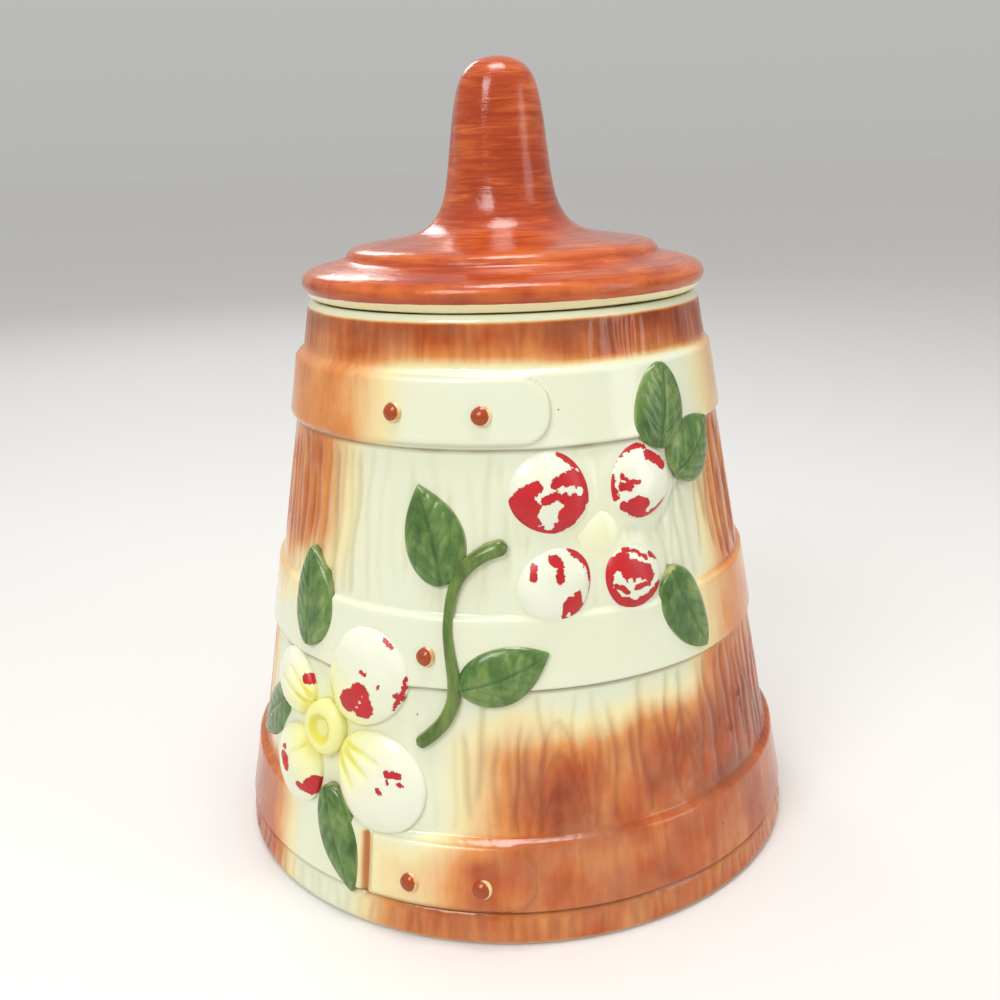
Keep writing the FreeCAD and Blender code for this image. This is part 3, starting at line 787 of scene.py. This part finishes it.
def strip_patch(name, angle, height, proud, values):
    """A piece made of rows across it, closed by a flat underside and by its two ends."""
    rows, columns = angle.shape
    points = surface_points(angle, height, proud).reshape(-1, 3)
    faces = []
    for row in range(rows - 1):
        first, second = row * columns, (row + 1) * columns
        for column in range(columns - 1):
            faces.append((first + column, first + column + 1, second + column + 1, second + column))
        faces.append((first + columns - 1, first, second, second + columns - 1))
    faces.append(tuple(range(columns))[::-1])
    faces.append(tuple(range((rows - 1) * columns, rows * columns)))
    return make_object(name, points, faces, values)


def ground(hoop):
    return HOOPS[hoop]["relief"] if hoop else 0.0


def paint_amount(name, angle, height):
    """Paint left on a petal: above 0 inside a stroke, below 0 outside."""
    shift = PAINT_SHIFT.get(name, (0, 0))
    angle, height = angle - shift[0], height - shift[1]
    paint = np.full(np.shape(angle), UNPAINTED)
    for width, *places in PAINT_STROKES[name]:
        paint = np.maximum(paint, width - stroke_distance(angle, height, places))
    for radius, *place in BARE_SPOTS.get(name, ()):
        paint = np.minimum(paint, distance(angle, height, place) - radius)
    return paint


def make_petal(name, base, tip, width, hoop):
    def furrow_depth(angle, height):
        depth = np.zeros(np.shape(angle))
        for half, deep, *places in FURROWS.get(name, ()):
            furrow = FURROW_STRENGTH * deep * bell(stroke_distance(angle, height, places), half)
            depth = np.maximum(depth, furrow)
        return depth

    def proud_at(share, angle, height):
        dome = PETAL_CROWN * (1 - share**2.5) ** 0.6
        uneven = 0.35 * (smooth_noise(angle / 4 + 50, height / 7, 31) - 0.5)
        return ground(hoop) + dome + uneven * (1 - share) - furrow_depth(angle, height) * (1 - share**4)

    def values_at(share, angle, height):
        yellow = flower_yellow(angle, height, *PETAL_YELLOW)
        yellow = np.clip(yellow + 0.34 * ramp(furrow_depth(angle, height), 0.1, 0.8), 0, 1)
        return {"paint": paint_amount(name, angle, height), "yellow": yellow}

    oval = petal_frame(base, tip, width)
    return round_patch(name, *oval, proud_at, values_at, rings=44, spokes=150)


def leaf_width(share, blunt):
    """Width of a leaf at a share of its way from base to tip, where its widest place is 1."""
    toward_base = np.clip(1 - share / LEAF_WIDEST, 0, 1)
    toward_tip = np.clip((share - LEAF_WIDEST) / (1 - LEAF_WIDEST), 0, 1)
    taper = 0.6 if blunt else 0.95
    return np.where(share < LEAF_WIDEST, np.sqrt(1 - toward_base**2), (1 - toward_tip**2) ** taper)


def make_leaf(name, base, tip, width, hoop):
    middle, along, half_long, half_wide = petal_frame(base, tip, width)
    rows, columns = 72, 45
    share = (1 - np.cos(math.pi * np.linspace(0.03, 0.985, rows))) / 2
    side = np.sin(np.linspace(-0.5, 0.5, columns) * math.pi)
    share, side = np.meshgrid(share, side, indexing="ij")
    forward = (2 * share - 1) * half_long
    spread = leaf_width(share, name in BLUNT_LEAVES)
    sideways = side * half_wide * spread
    bend = 0.9 * np.sin(math.pi * share)
    angle, height = oval_place(middle, along, forward, sideways + bend)

    crown = (LEAF_CROWN - LEAF_EDGE) * np.sqrt(spread) * (1 - side**2)
    plate = LEAF_EDGE * (1 - np.abs(side) ** 9)
    midrib = MIDRIB_DEPTH * bell(sideways, 0.62) * (1 - ramp(share, 0.8, 0.98))
    waver = smooth_noise(forward / 5 + 30, sideways / 5 + 30, len(name)) - 0.5
    slant = (forward - 1.15 * np.abs(sideways) + 1.6 * waver) / VEIN_GAP
    vein = VEIN_DEPTH * bell((slant - np.round(slant)) * VEIN_GAP, 0.6)
    vein = vein * ramp(np.abs(sideways), 0.6, 1.6) * (1 - ramp(np.abs(side), 0.62, 0.92))
    proud = ground(hoop) + plate + crown - midrib - vein
    proud[:, 0] = proud[:, -1] = SUNK
    values = {
        "vein": np.clip(midrib / MIDRIB_DEPTH + 0.5 * vein / VEIN_DEPTH, 0, 1),
        "rim": np.maximum(ramp(np.abs(side), 0.93, 0.995), ramp(np.abs(2 * share - 1), 0.95, 0.995)),
    }
    return strip_patch(name, angle, height, proud, values)


def smoothed(rows, rounds):
    """Rows evened out along them, with both ends kept."""
    for _ in range(rounds):
        rows[1:-1] = (rows[:-2] + 2 * rows[1:-1] + rows[2:]) / 4
    return rows


def round_end(travelled, radius):
    """How full a rod with a rounded end is, so far from that end."""
    return np.sqrt(np.clip(1 - (1 - np.clip(travelled / radius, 0, 1)) ** 2, 0.02, 1))


def make_stem():
    """The stem and its branch, through its bends as a smooth line."""
    bends = np.array(STEM)
    steps = np.linspace(0, len(bends) - 1, 110)
    lines = [np.interp(steps, np.arange(len(bends)), values) for values in bends.T]
    angle, height, width = (smoothed(line, 14) for line in lines)
    scale = mm_per_degree(height)
    run, rise = np.gradient(angle) * scale, np.gradient(height)
    length = np.hypot(run, rise)
    parts = np.hypot(np.diff(angle) * scale[1:], np.diff(height))
    travelled = np.concatenate([[0], np.cumsum(parts)])
    taper = round_end(travelled[-1] - travelled, 2.5) * round_end(travelled, 1.6)
    side = np.sin(np.linspace(-0.5, 0.5, 17) * math.pi)[None, :]
    sideways = side * (width / 2 * taper)[:, None]
    across = angle[:, None] + sideways * (rise / length / scale)[:, None]
    up = height[:, None] - sideways * (run / length)[:, None]
    arch = STEM_CROWN * np.sqrt(np.clip(1 - side**2, 0, 1)) * (taper**0.5)[:, None]
    proud = smoothed(ground("middle") * (0.35 + 0.65 * (hoop_relief(up) > 0.7)) + arch, 8)
    proud[:, 0] = proud[:, -1] = SUNK
    values = {"rim": ramp(np.abs(np.broadcast_to(side, up.shape)), 0.8, 1.0)}
    return strip_patch("flower_stem", across, up, proud, values)


def make_cup():
    """The left flower's middle: a round-edged boss with a hollow in it."""
    size = LEFT_MIDDLE

    def proud_at(share, angle, height):
        boss = size["relief"] * (1 - share**7) ** 0.5
        hollow = size["depth"] * (1 - ramp(share * size["radius"], 1.5, size["hollow"]))
        return ground("middle") + boss - hollow + 0.2 * (smooth_noise(angle, height / 2, 41) - 0.5)

    def values_at(share, angle, height):
        hollow = 1 - ramp(share * size["radius"], 2.0, size["hollow"])
        return {"yellow": 0.84 + hollow * (1 - hollow), "paint": np.full(share.shape, UNPAINTED)}

    return round_boss("left_flower_cup", size["place"], size["radius"], proud_at, values_at)


def make_button():
    """The right flower's flat middle, which melts into the wall."""
    size = RIGHT_MIDDLE

    def proud_at(share, angle, height):
        return 0.1 + size["relief"] * (1 - share**2) ** 0.9

    def values_at(share, angle, height):
        return {"yellow": 0.5 * (1 - 0.5 * share), "paint": np.full(share.shape, UNPAINTED)}

    return round_boss("right_flower_button", size["place"], size["radius"], proud_at, values_at)


def make_rivets():
    """Rivet heads with a brown dot, as one object."""
    heads = []
    for k, place in enumerate(RIVETS):
        under = hoop_relief(place[1]) + lap_relief(place[0], place[1])

        def proud_at(share, angle, height):
            return under + RIVET_RELIEF * (1 - share**2) ** 0.62

        def values_at(share, angle, height):
            dot = distance(angle, height, (place[0] - 0.3, place[1] + 0.2))
            return {"brown": 1 - ramp(dot, 2.3, 3.1)}

        grid = {"rings": 14, "spokes": 40}
        heads.append(round_boss(f"rivet_{k}", place, RIVET_RADIUS, proud_at, values_at, **grid))
    with bpy.context.temp_override(active_object=heads[0], selected_editable_objects=heads):
        bpy.ops.object.join()
    heads[0].name = "hoop_rivets_painted"
    return heads[0]


# Lid

LID_OUTSIDE = (
    (2.0, 266.4), (5.0, 265.9), (8.0, 264.7), (10.6, 262.5), (12.4, 259.6), (13.6, 256.0),
    (14.5, 251.8), (15.3, 246.4), (16.1, 240.0), (16.9, 233.4), (17.7, 227.8), (18.7, 222.8),
    (20.2, 218.7), (22.4, 215.1), (25.2, 212.4), (28.8, 210.7), (33.0, 209.6), (40.0, 208.5),
    (46.6, 207.6), (50.2, 206.9), (52.0, 206.0), (52.9, 204.8), (53.5, 203.6), (54.6, 202.8),
    (57.0, 202.2), (61.5, 201.3), (65.2, 200.3), (67.4, 199.1), (68.5, 197.4), (68.6, 195.6),
    (68.0, 194.2), (66.9, 192.7), (66.0, 191.6), (64.8, 191.0), (62.6, 190.8), (60.4, 190.8),
)
LID_INSIDE = (
    (59.6, 190.2), (59.45, 188.6), (59.4, 185.0), (59.2, 182.2), (58.4, 181.1), (57.2, 180.8),
    (56.0, 181.1), (55.2, 182.0), (54.9, 184.0), (54.9, 190.0), (54.7, 195.0), (53.4, 197.8),
    (49.6, 199.8), (42.0, 201.6), (32.0, 203.0), (25.0, 205.2), (19.6, 209.6), (16.4, 215.6),
    (14.6, 223.0), (12.6, 236.0), (10.6, 249.0), (9.0, 257.0), (6.6, 260.6), (3.0, 261.7),
)
LID_BROWN_EDGE = 193.7
LID_STEP = 1.25

# Edges of the lid where the glaze ran thin: radius, height, how thin, and how far that reaches

LID_EDGES = ((68.4, 197.5, 1.0, 2.6), (52.2, 205.9, 0.8, 1.6))


def finer(pairs, times):
    """Rounds a profile out by cutting its corners again and again."""
    line = np.array(pairs, float)
    for _ in range(times):
        near = 0.75 * line[:-1] + 0.25 * line[1:]
        far = 0.25 * line[:-1] + 0.75 * line[1:]
        middle = np.stack([near, far], axis=1).reshape(-1, 2)
        line = np.concatenate([line[:1], middle, line[-1:]])
    return line


def make_lid():
    profile = finer(LID_OUTSIDE + LID_INSIDE, 2)
    count = len(profile)
    angles = np.arange(-180, 180, LID_STEP)
    radius = np.repeat(profile[:, :1], len(angles), axis=1)
    height = np.repeat(profile[:, 1:], len(angles), axis=1)
    outer = 1 - ramp(np.arange(count), 0.55 * count, 0.6 * count)[:, None]
    turn = np.radians(angles)[None, :]
    waver = smooth_noise(4 + 3 * np.sin(turn), 4 + 3 * np.cos(turn) + height / 30, 51) - 0.5
    radius = radius + 0.5 * waver * outer * ramp(radius, 6, 16)
    height = height + 0.35 * waver * outer * ramp(radius, 20, 30)
    thin = np.zeros(radius.shape)
    for edge_radius, edge_height, strength, reach in LID_EDGES:
        away = np.hypot(radius - edge_radius, height - edge_height)
        thin = np.maximum(thin, strength * bell(away, reach))
    brown = outer * ramp(height, LID_BROWN_EDGE - 0.35, LID_BROWN_EDGE + 0.35)
    parts = np.hypot(*np.diff(profile, axis=0).T)
    travelled = np.concatenate([[0], np.cumsum(parts)])
    along = np.repeat(travelled[:, None] * MM, len(angles), axis=1)
    values = {"brown": brown[::-1], "thin": (thin * outer)[::-1], "along": along[::-1]}
    return turned_object("lid_glazed", radius[::-1], height[::-1], angles, values)


# Materials


def linear(red, green, blue):
    """A colour as seen on a screen, from 0 to 255, as Blender wants it."""
    channels = []
    for value in (red, green, blue):
        share = value / 255
        channels.append(share / 12.92 if share <= 0.04045 else ((share + 0.055) / 1.055) ** 2.4)
    return (*channels, 1.0)


CREAM = linear(224, 228, 202)
WARM_CREAM = linear(236, 222, 168)
TAN = linear(218, 138, 68)
RUST = linear(180, 80, 24)
DARK_RUST = linear(138, 50, 8)
GROOVE_CREAM = linear(196, 184, 132)
GROOVE_BROWN = linear(122, 46, 10)
# Olive brown of the lines under the hoops and round the laps: pooled glaze with painted shade
POOLED_GLAZE_AND_SHADE = linear(112, 84, 44)
RIVET_BROWN = linear(158, 66, 22)
BISQUE = linear(226, 214, 192)
PALE_YELLOW = linear(238, 236, 150)
DEEP_YELLOW = linear(222, 214, 88)
PETAL = linear(234, 235, 216)
PAINT_RED = linear(196, 24, 32)
PAINT_DARK = linear(140, 22, 26)
LEAF_DARK = linear(50, 80, 34)
LEAF_MIDDLE = linear(84, 118, 56)
LEAF_LIGHT = linear(134, 156, 88)
STEM_GREEN = linear(112, 136, 64)
STEM_DARK = linear(76, 100, 42)
LID_RUST = linear(168, 62, 18)
LID_DARK = linear(140, 44, 8)
LID_LIGHT = linear(212, 110, 50)
LID_CREAM = linear(232, 220, 176)
SPECK = linear(70, 50, 36)
PETAL_SPECK = linear(80, 66, 50)
WORN_LEAF = linear(176, 170, 112)
WORN_STEM = linear(168, 168, 108)
FLOOR_PAPER = linear(226, 224, 220)

# Bumps in the glazes, in metres

GLAZE_WAVE = 0.00022
GLAZE_PINHOLES = 0.00002
PAINT_FILM = 0.00012
LEAF_BRUSHING = 0.00008
LID_BRUSHING = 0.00012


class Nodes:
    """A material's node tree, with short ways to add and join nodes."""

    def __init__(self, name):
        self.material = bpy.data.materials.new(name)
        self.material.use_nodes = True
        self.tree = self.material.node_tree
        self.tree.nodes.clear()
        output = self.tree.nodes.new("ShaderNodeOutputMaterial")
        self.shader = self.tree.nodes.new("ShaderNodeBsdfPrincipled")
        self.tree.links.new(self.shader.outputs["BSDF"], output.inputs["Surface"])

    def put(self, socket, value):
        if isinstance(value, bpy.types.NodeSocket):
            self.tree.links.new(value, socket)
        else:
            socket.default_value = value

    def add(self, kind, inputs=None, **settings):
        node = self.tree.nodes.new(kind)
        for key, value in settings.items():
            setattr(node, key, value)
        for key, value in (inputs or {}).items():
            self.put(node.inputs[key], value)
        return node

    def attribute(self, name):
        return self.add("ShaderNodeAttribute", attribute_name=name).outputs["Fac"]

    def place(self):
        return self.add("ShaderNodeTexCoord").outputs["Object"]

    def math(self, operation, first, second):
        return self.add("ShaderNodeMath", {0: first, 1: second}, operation=operation).outputs[0]

    def times(self, first, second):
        return self.math("MULTIPLY", first, second)

    def plus(self, first, second):
        return self.math("ADD", first, second)

    def minus(self, first, second):
        return self.math("SUBTRACT", first, second)

    def mix(self, amount, first, second):
        inputs = {"Factor": amount, "A": first, "B": second}
        node = self.add("ShaderNodeMix", inputs, data_type="RGBA")
        return next(socket for socket in node.outputs if socket.type == "RGBA")

    def step(self, value, start, end):
        """0 before start and 1 after end."""
        inputs = {"Value": value, "From Min": start, "From Max": end}
        return self.add("ShaderNodeMapRange", inputs, interpolation_type="SMOOTHSTEP").outputs["Result"]

    def noise(self, scale, stretch=(1, 1, 1), detail=3.0, roughness=0.55, distortion=0.0, place=None):
        """Noise from 0 to 1 with so many features to a metre along each axis."""
        inputs = {"Vector": place or self.place(), "Scale": tuple(scale * share for share in stretch)}
        moved = self.add("ShaderNodeMapping", inputs).outputs["Vector"]
        inputs = {"Vector": moved, "Scale": 1.0, "Detail": detail}
        inputs |= {"Roughness": roughness, "Distortion": distortion}
        return self.add("ShaderNodeTexNoise", inputs).outputs[0]

    def waver(self, scale, **settings):
        """Noise from -0.5 to 0.5."""
        return self.minus(self.noise(scale, **settings), 0.5)

    def cloudy(self, scale, start, end, first, second, **settings):
        """Two colours in patches, with the second where the noise is strong."""
        return self.mix(self.step(self.noise(scale, **settings), start, end), first, second)

    def ramp(self, value, stops):
        node = self.add("ShaderNodeValToRGB", {"Fac": value})
        while len(node.color_ramp.elements) < len(stops):
            node.color_ramp.elements.new(0.5)
        for element, (place, colour) in zip(node.color_ramp.elements, stops):
            element.position = place
            element.color = colour
        return node.outputs["Color"]

    def bump(self, height, depth, normal=None):
        node = self.add("ShaderNodeBump", {"Height": height, "Distance": depth})
        if normal is not None:
            self.put(node.inputs["Normal"], normal)
        return node.outputs["Normal"]

    def finish(self, colour, roughness, normal=None):
        self.put(self.shader.inputs["Base Color"], colour)
        self.put(self.shader.inputs["Roughness"], roughness)
        if normal is not None:
            self.put(self.shader.inputs["Normal"], normal)
        return self.material


def glaze_surface(nodes):
    """The fine unevenness of a fired glaze: a slow wave with a faint pinhole texture."""
    slow = nodes.bump(nodes.noise(130, detail=2.0), GLAZE_WAVE)
    return nodes.bump(nodes.noise(900, detail=2.0), GLAZE_PINHOLES, slow)


def specks(nodes):
    """Sparse dark specks in the glaze."""
    inputs = {"Vector": nodes.place(), "Scale": 85.0, "Randomness": 1.0}
    cells = nodes.add("ShaderNodeTexVoronoi", inputs).outputs
    chosen = nodes.step(cells["Color"], 0.80, 0.81)
    spot = nodes.minus(1.0, nodes.step(cells["Distance"], 0.025, 0.045))
    return nodes.times(spot, chosen)


def jar_material():
    nodes = Nodes("jar_glaze")
    brown = nodes.attribute("brown")
    groove = nodes.attribute("groove")
    streaks = nodes.waver(480, stretch=(1, 1, 0.07))
    clouds = nodes.waver(75, detail=2.0)
    uneven = nodes.plus(nodes.times(streaks, 0.24), nodes.times(clouds, 0.2))
    weight = nodes.math("MINIMUM", nodes.times(brown, 1.6), 1.0)
    level = nodes.plus(brown, nodes.times(uneven, weight))
    stops = ((0.0, CREAM), (0.14, WARM_CREAM), (0.46, TAN), (0.74, RUST), (1.0, DARK_RUST))
    colour = nodes.ramp(level, stops)
    colour = nodes.mix(0.12, colour, nodes.cloudy(60, 0.35, 0.75, colour, WARM_CREAM))
    pooled = nodes.mix(nodes.step(brown, 0.05, 0.5), GROOVE_CREAM, GROOVE_BROWN)
    colour = nodes.mix(nodes.times(groove, 0.46), colour, pooled)
    # Dark lines under the hoops and round the laps: pooled glaze with painted shade
    colour = nodes.mix(nodes.times(nodes.attribute("line"), 0.72), colour, POOLED_GLAZE_AND_SHADE)
    yellow = nodes.times(nodes.attribute("yellow"), nodes.minus(1.0, nodes.step(brown, 0.1, 0.4)))
    colour = nodes.mix(nodes.times(yellow, 0.55), colour, PALE_YELLOW)
    colour = nodes.mix(specks(nodes), colour, SPECK)
    bare = nodes.attribute("bare")
    colour = nodes.mix(bare, colour, BISQUE)
    rough = nodes.step(nodes.noise(22, detail=2.0), 0.2, 0.9)
    rough = nodes.plus(nodes.times(rough, 0.08), 0.13)
    rough = nodes.plus(rough, nodes.times(bare, 0.6))
    return nodes.finish(colour, rough, glaze_surface(nodes))


def petal_material():
    nodes = Nodes("petal_glaze")
    yellow = nodes.attribute("yellow")
    colour = nodes.cloudy(70, 0.3, 0.8, PETAL, CREAM, detail=2.0)
    colour = nodes.mix(nodes.times(nodes.step(yellow, 0.05, 0.9), 0.8), colour, PALE_YELLOW)
    colour = nodes.mix(nodes.step(yellow, 0.75, 1.05), colour, DEEP_YELLOW)
    ragged = nodes.times(nodes.waver(620, detail=5.0, roughness=0.7), 3.0)
    paint = nodes.step(nodes.plus(nodes.attribute("paint"), ragged), -0.06, 0.06)
    shade = nodes.cloudy(260, 0.35, 0.7, PAINT_RED, PAINT_DARK, detail=4.0)
    colour = nodes.mix(paint, colour, nodes.mix(0.3, PAINT_RED, shade))
    colour = nodes.mix(specks(nodes), colour, PETAL_SPECK)
    rough = nodes.plus(0.14, nodes.times(paint, 0.22))
    film = nodes.bump(paint, PAINT_FILM, glaze_surface(nodes))
    return nodes.finish(colour, rough, film)


def leaf_material():
    nodes = Nodes("leaf_glaze")
    strokes = nodes.noise(300, stretch=(1, 1, 0.35), detail=4.0, distortion=0.6)
    patches = nodes.noise(95)
    level = nodes.plus(nodes.times(strokes, 0.55), nodes.times(patches, 0.6))
    colour = nodes.ramp(level, ((0.36, LEAF_DARK), (0.56, LEAF_MIDDLE), (0.78, LEAF_LIGHT)))
    colour = nodes.mix(nodes.times(nodes.attribute("vein"), 0.5), colour, LEAF_DARK)
    worn = nodes.times(nodes.attribute("rim"), nodes.step(nodes.noise(150), 0.3, 0.7))
    colour = nodes.mix(nodes.times(worn, 0.75), colour, WORN_LEAF)
    rough = nodes.plus(0.13, nodes.times(patches, 0.12))
    brushed = nodes.bump(strokes, LEAF_BRUSHING, glaze_surface(nodes))
    return nodes.finish(colour, rough, brushed)


def stem_material():
    nodes = Nodes("stem_glaze")
    colour = nodes.cloudy(260, 0.35, 0.7, STEM_DARK, STEM_GREEN, stretch=(1, 1, 0.25), detail=4.0)
    colour = nodes.mix(nodes.times(nodes.attribute("rim"), 0.5), colour, WORN_STEM)
    return nodes.finish(colour, 0.18, glaze_surface(nodes))


def rivet_material():
    nodes = Nodes("rivet_glaze")
    dot = nodes.plus(nodes.attribute("brown"), nodes.waver(700))
    base = nodes.cloudy(300, 0.3, 0.8, WARM_CREAM, TAN)
    colour = nodes.mix(nodes.step(dot, 0.3, 0.7), base, RIVET_BROWN)
    return nodes.finish(colour, 0.15, glaze_surface(nodes))


def lid_material():
    nodes = Nodes("lid_glaze")
    place = nodes.add("ShaderNodeSeparateXYZ", {0: nodes.place()}).outputs
    axes = {"X": place[0], "Y": place[1], "Z": nodes.attribute("along")}
    rings = nodes.add("ShaderNodeCombineXYZ", axes).outputs[0]
    brushing = nodes.noise(48, (1, 1, 11), detail=5.0, roughness=0.62, distortion=0.7, place=rings)
    patches = nodes.noise(34)
    level = nodes.plus(nodes.times(brushing, 0.7), nodes.times(patches, 0.5))
    colour = nodes.ramp(level, ((0.38, LID_DARK), (0.58, LID_RUST), (0.82, LID_LIGHT)))
    thin = nodes.times(nodes.attribute("thin"), nodes.step(nodes.noise(120), 0.2, 0.7))
    colour = nodes.mix(nodes.times(thin, 0.8), colour, LID_LIGHT)
    brown = nodes.plus(nodes.attribute("brown"), nodes.waver(160))
    under = nodes.cloudy(90, 0.3, 0.8, LID_CREAM, WARM_CREAM)
    colour = nodes.mix(nodes.step(brown, 0.42, 0.56), under, colour)
    rough = nodes.plus(0.1, nodes.times(patches, 0.12))
    brushed = nodes.bump(brushing, LID_BRUSHING, glaze_surface(nodes))
    return nodes.finish(colour, rough, brushed)


# The object


def dress(piece, body, material, slot, *nodes):
    """Gives a piece its material and its place in the frame."""
    piece.data.materials.clear()
    piece.data.materials.append(material)
    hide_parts(*nodes)
    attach(piece, body)


def make_object_pieces():
    dress(make_jar(), "jar", jar_material(), "cream_glaze", "jar_body")
    dress(make_lid(), "lid", lid_material(), "brown_glaze", "lid")
    leaf, petal, stem = leaf_material(), petal_material(), stem_material()
    for name, line in LEAVES.items():
        piece = make_leaf(name + "_glazed", *line)
        dress(piece, "jar", leaf, "green_glaze", name)
    for name, line in PETALS.items():
        piece = make_petal(name, *line)
        piece.name = name + "_painted"
        dress(piece, "jar", petal, "petal_glaze", name)
    dress(make_stem(), "jar", stem, "green_glaze", "flower_stem")
    dress(make_cup(), "jar", petal, "yellow_glaze", "left_flower_cup")
    dress(make_button(), "jar", petal, "yellow_glaze", "right_flower_button")
    dress(make_rivets(), "jar", rivet_material(), "rivet_brown", "hoop_rivets")


# Stage, light and camera

FRAME_PIXELS = 1000
SENSOR = 36.0
FOCAL_PIXELS = 1124.2
CAMERA_PLACE = (0.0, -394.7, 233.1)
CAMERA_YAW = -0.456
CAMERA_PITCH = 16.726
CAMERA_ROLL = -1.740
HORIZON = linear(212, 211, 208)
ZENITH = linear(246, 247, 248)
SKY_STRENGTH = 0.72
FLOOR_REACH = 40.0

# Lights, in metres and watts: place, width, height and power. All of them point at one place.

LIGHT_TARGET = (0, 0, 0.14)
LIGHTS = {
    "key": ((-0.5, -0.85, 0.95), 0.5, 0.5, 6.5),
    "sky": ((0.02, -0.06, 1.15), 0.42, 0.4, 6),
    "fill": ((1.0, -0.5, 0.45), 0.35, 0.8, 2),
    "back": ((-0.5, 1.2, 0.9), 0.4, 0.4, 2.5),
}


def make_camera():
    yaw, pitch, roll = (math.radians(turn) for turn in (CAMERA_YAW, CAMERA_PITCH, CAMERA_ROLL))
    forward = Vector((math.sin(yaw) * math.cos(pitch), math.cos(yaw) * math.cos(pitch), -math.sin(pitch)))
    level = Vector((math.cos(yaw), -math.sin(yaw), 0))
    upright = level.cross(forward)
    right = math.cos(roll) * level + math.sin(roll) * upright
    up = math.cos(roll) * upright - math.sin(roll) * level
    data = bpy.data.cameras.new("camera")
    data.sensor_width = SENSOR
    data.lens = FOCAL_PIXELS / FRAME_PIXELS * SENSOR
    data.clip_start = 0.01
    camera = link_object("camera", data)
    turn = Matrix((right, up, -forward)).transposed().to_4x4()
    camera.matrix_world = Matrix.Translation(Vector(CAMERA_PLACE) * MM) @ turn
    bpy.context.scene.camera = camera


def make_light(name, place, width, height, power):
    data = bpy.data.lights.new(name, "AREA")
    data.shape = "RECTANGLE"
    data.size, data.size_y = width, height
    data.energy = power
    light = link_object(name, data)
    light.location = place
    ahead = Vector(LIGHT_TARGET) - Vector(place)
    light.rotation_euler = ahead.to_track_quat("-Z", "Y").to_euler()


def make_floor():
    mesh = bpy.data.meshes.new("floor")
    reach = FLOOR_REACH
    corners = [(-reach, -reach, 0), (reach, -reach, 0), (reach, reach, 0), (-reach, reach, 0)]
    mesh.from_pydata(corners, [], [(0, 1, 2, 3)])
    mesh.materials.append(Nodes("floor_paper").finish(FLOOR_PAPER, 0.7))
    floor = link_object("floor", mesh)


def make_sky():
    """An even sky, a little darker at the horizon."""
    world = bpy.data.worlds.new("studio")
    bpy.context.scene.world = world
    world.use_nodes = True
    nodes, links = world.node_tree.nodes, world.node_tree.links
    place = nodes.new("ShaderNodeTexCoord")
    split = nodes.new("ShaderNodeSeparateXYZ")
    sky = nodes.new("ShaderNodeValToRGB")
    for element, colour in zip(sky.color_ramp.elements, (HORIZON, ZENITH)):
        element.color = colour
    background = nodes["Background"].inputs
    background["Strength"].default_value = SKY_STRENGTH
    links.new(place.outputs["Generated"], split.inputs[0])
    links.new(split.outputs["Z"], sky.inputs["Fac"])
    links.new(sky.outputs["Color"], background["Color"])


def main():
    make_object_pieces()
    make_floor()
    make_sky()
    for name, light in LIGHTS.items():
        make_light(name, *light)
    make_camera()
    bpy.context.scene.view_settings.view_transform = "Standard"


main()
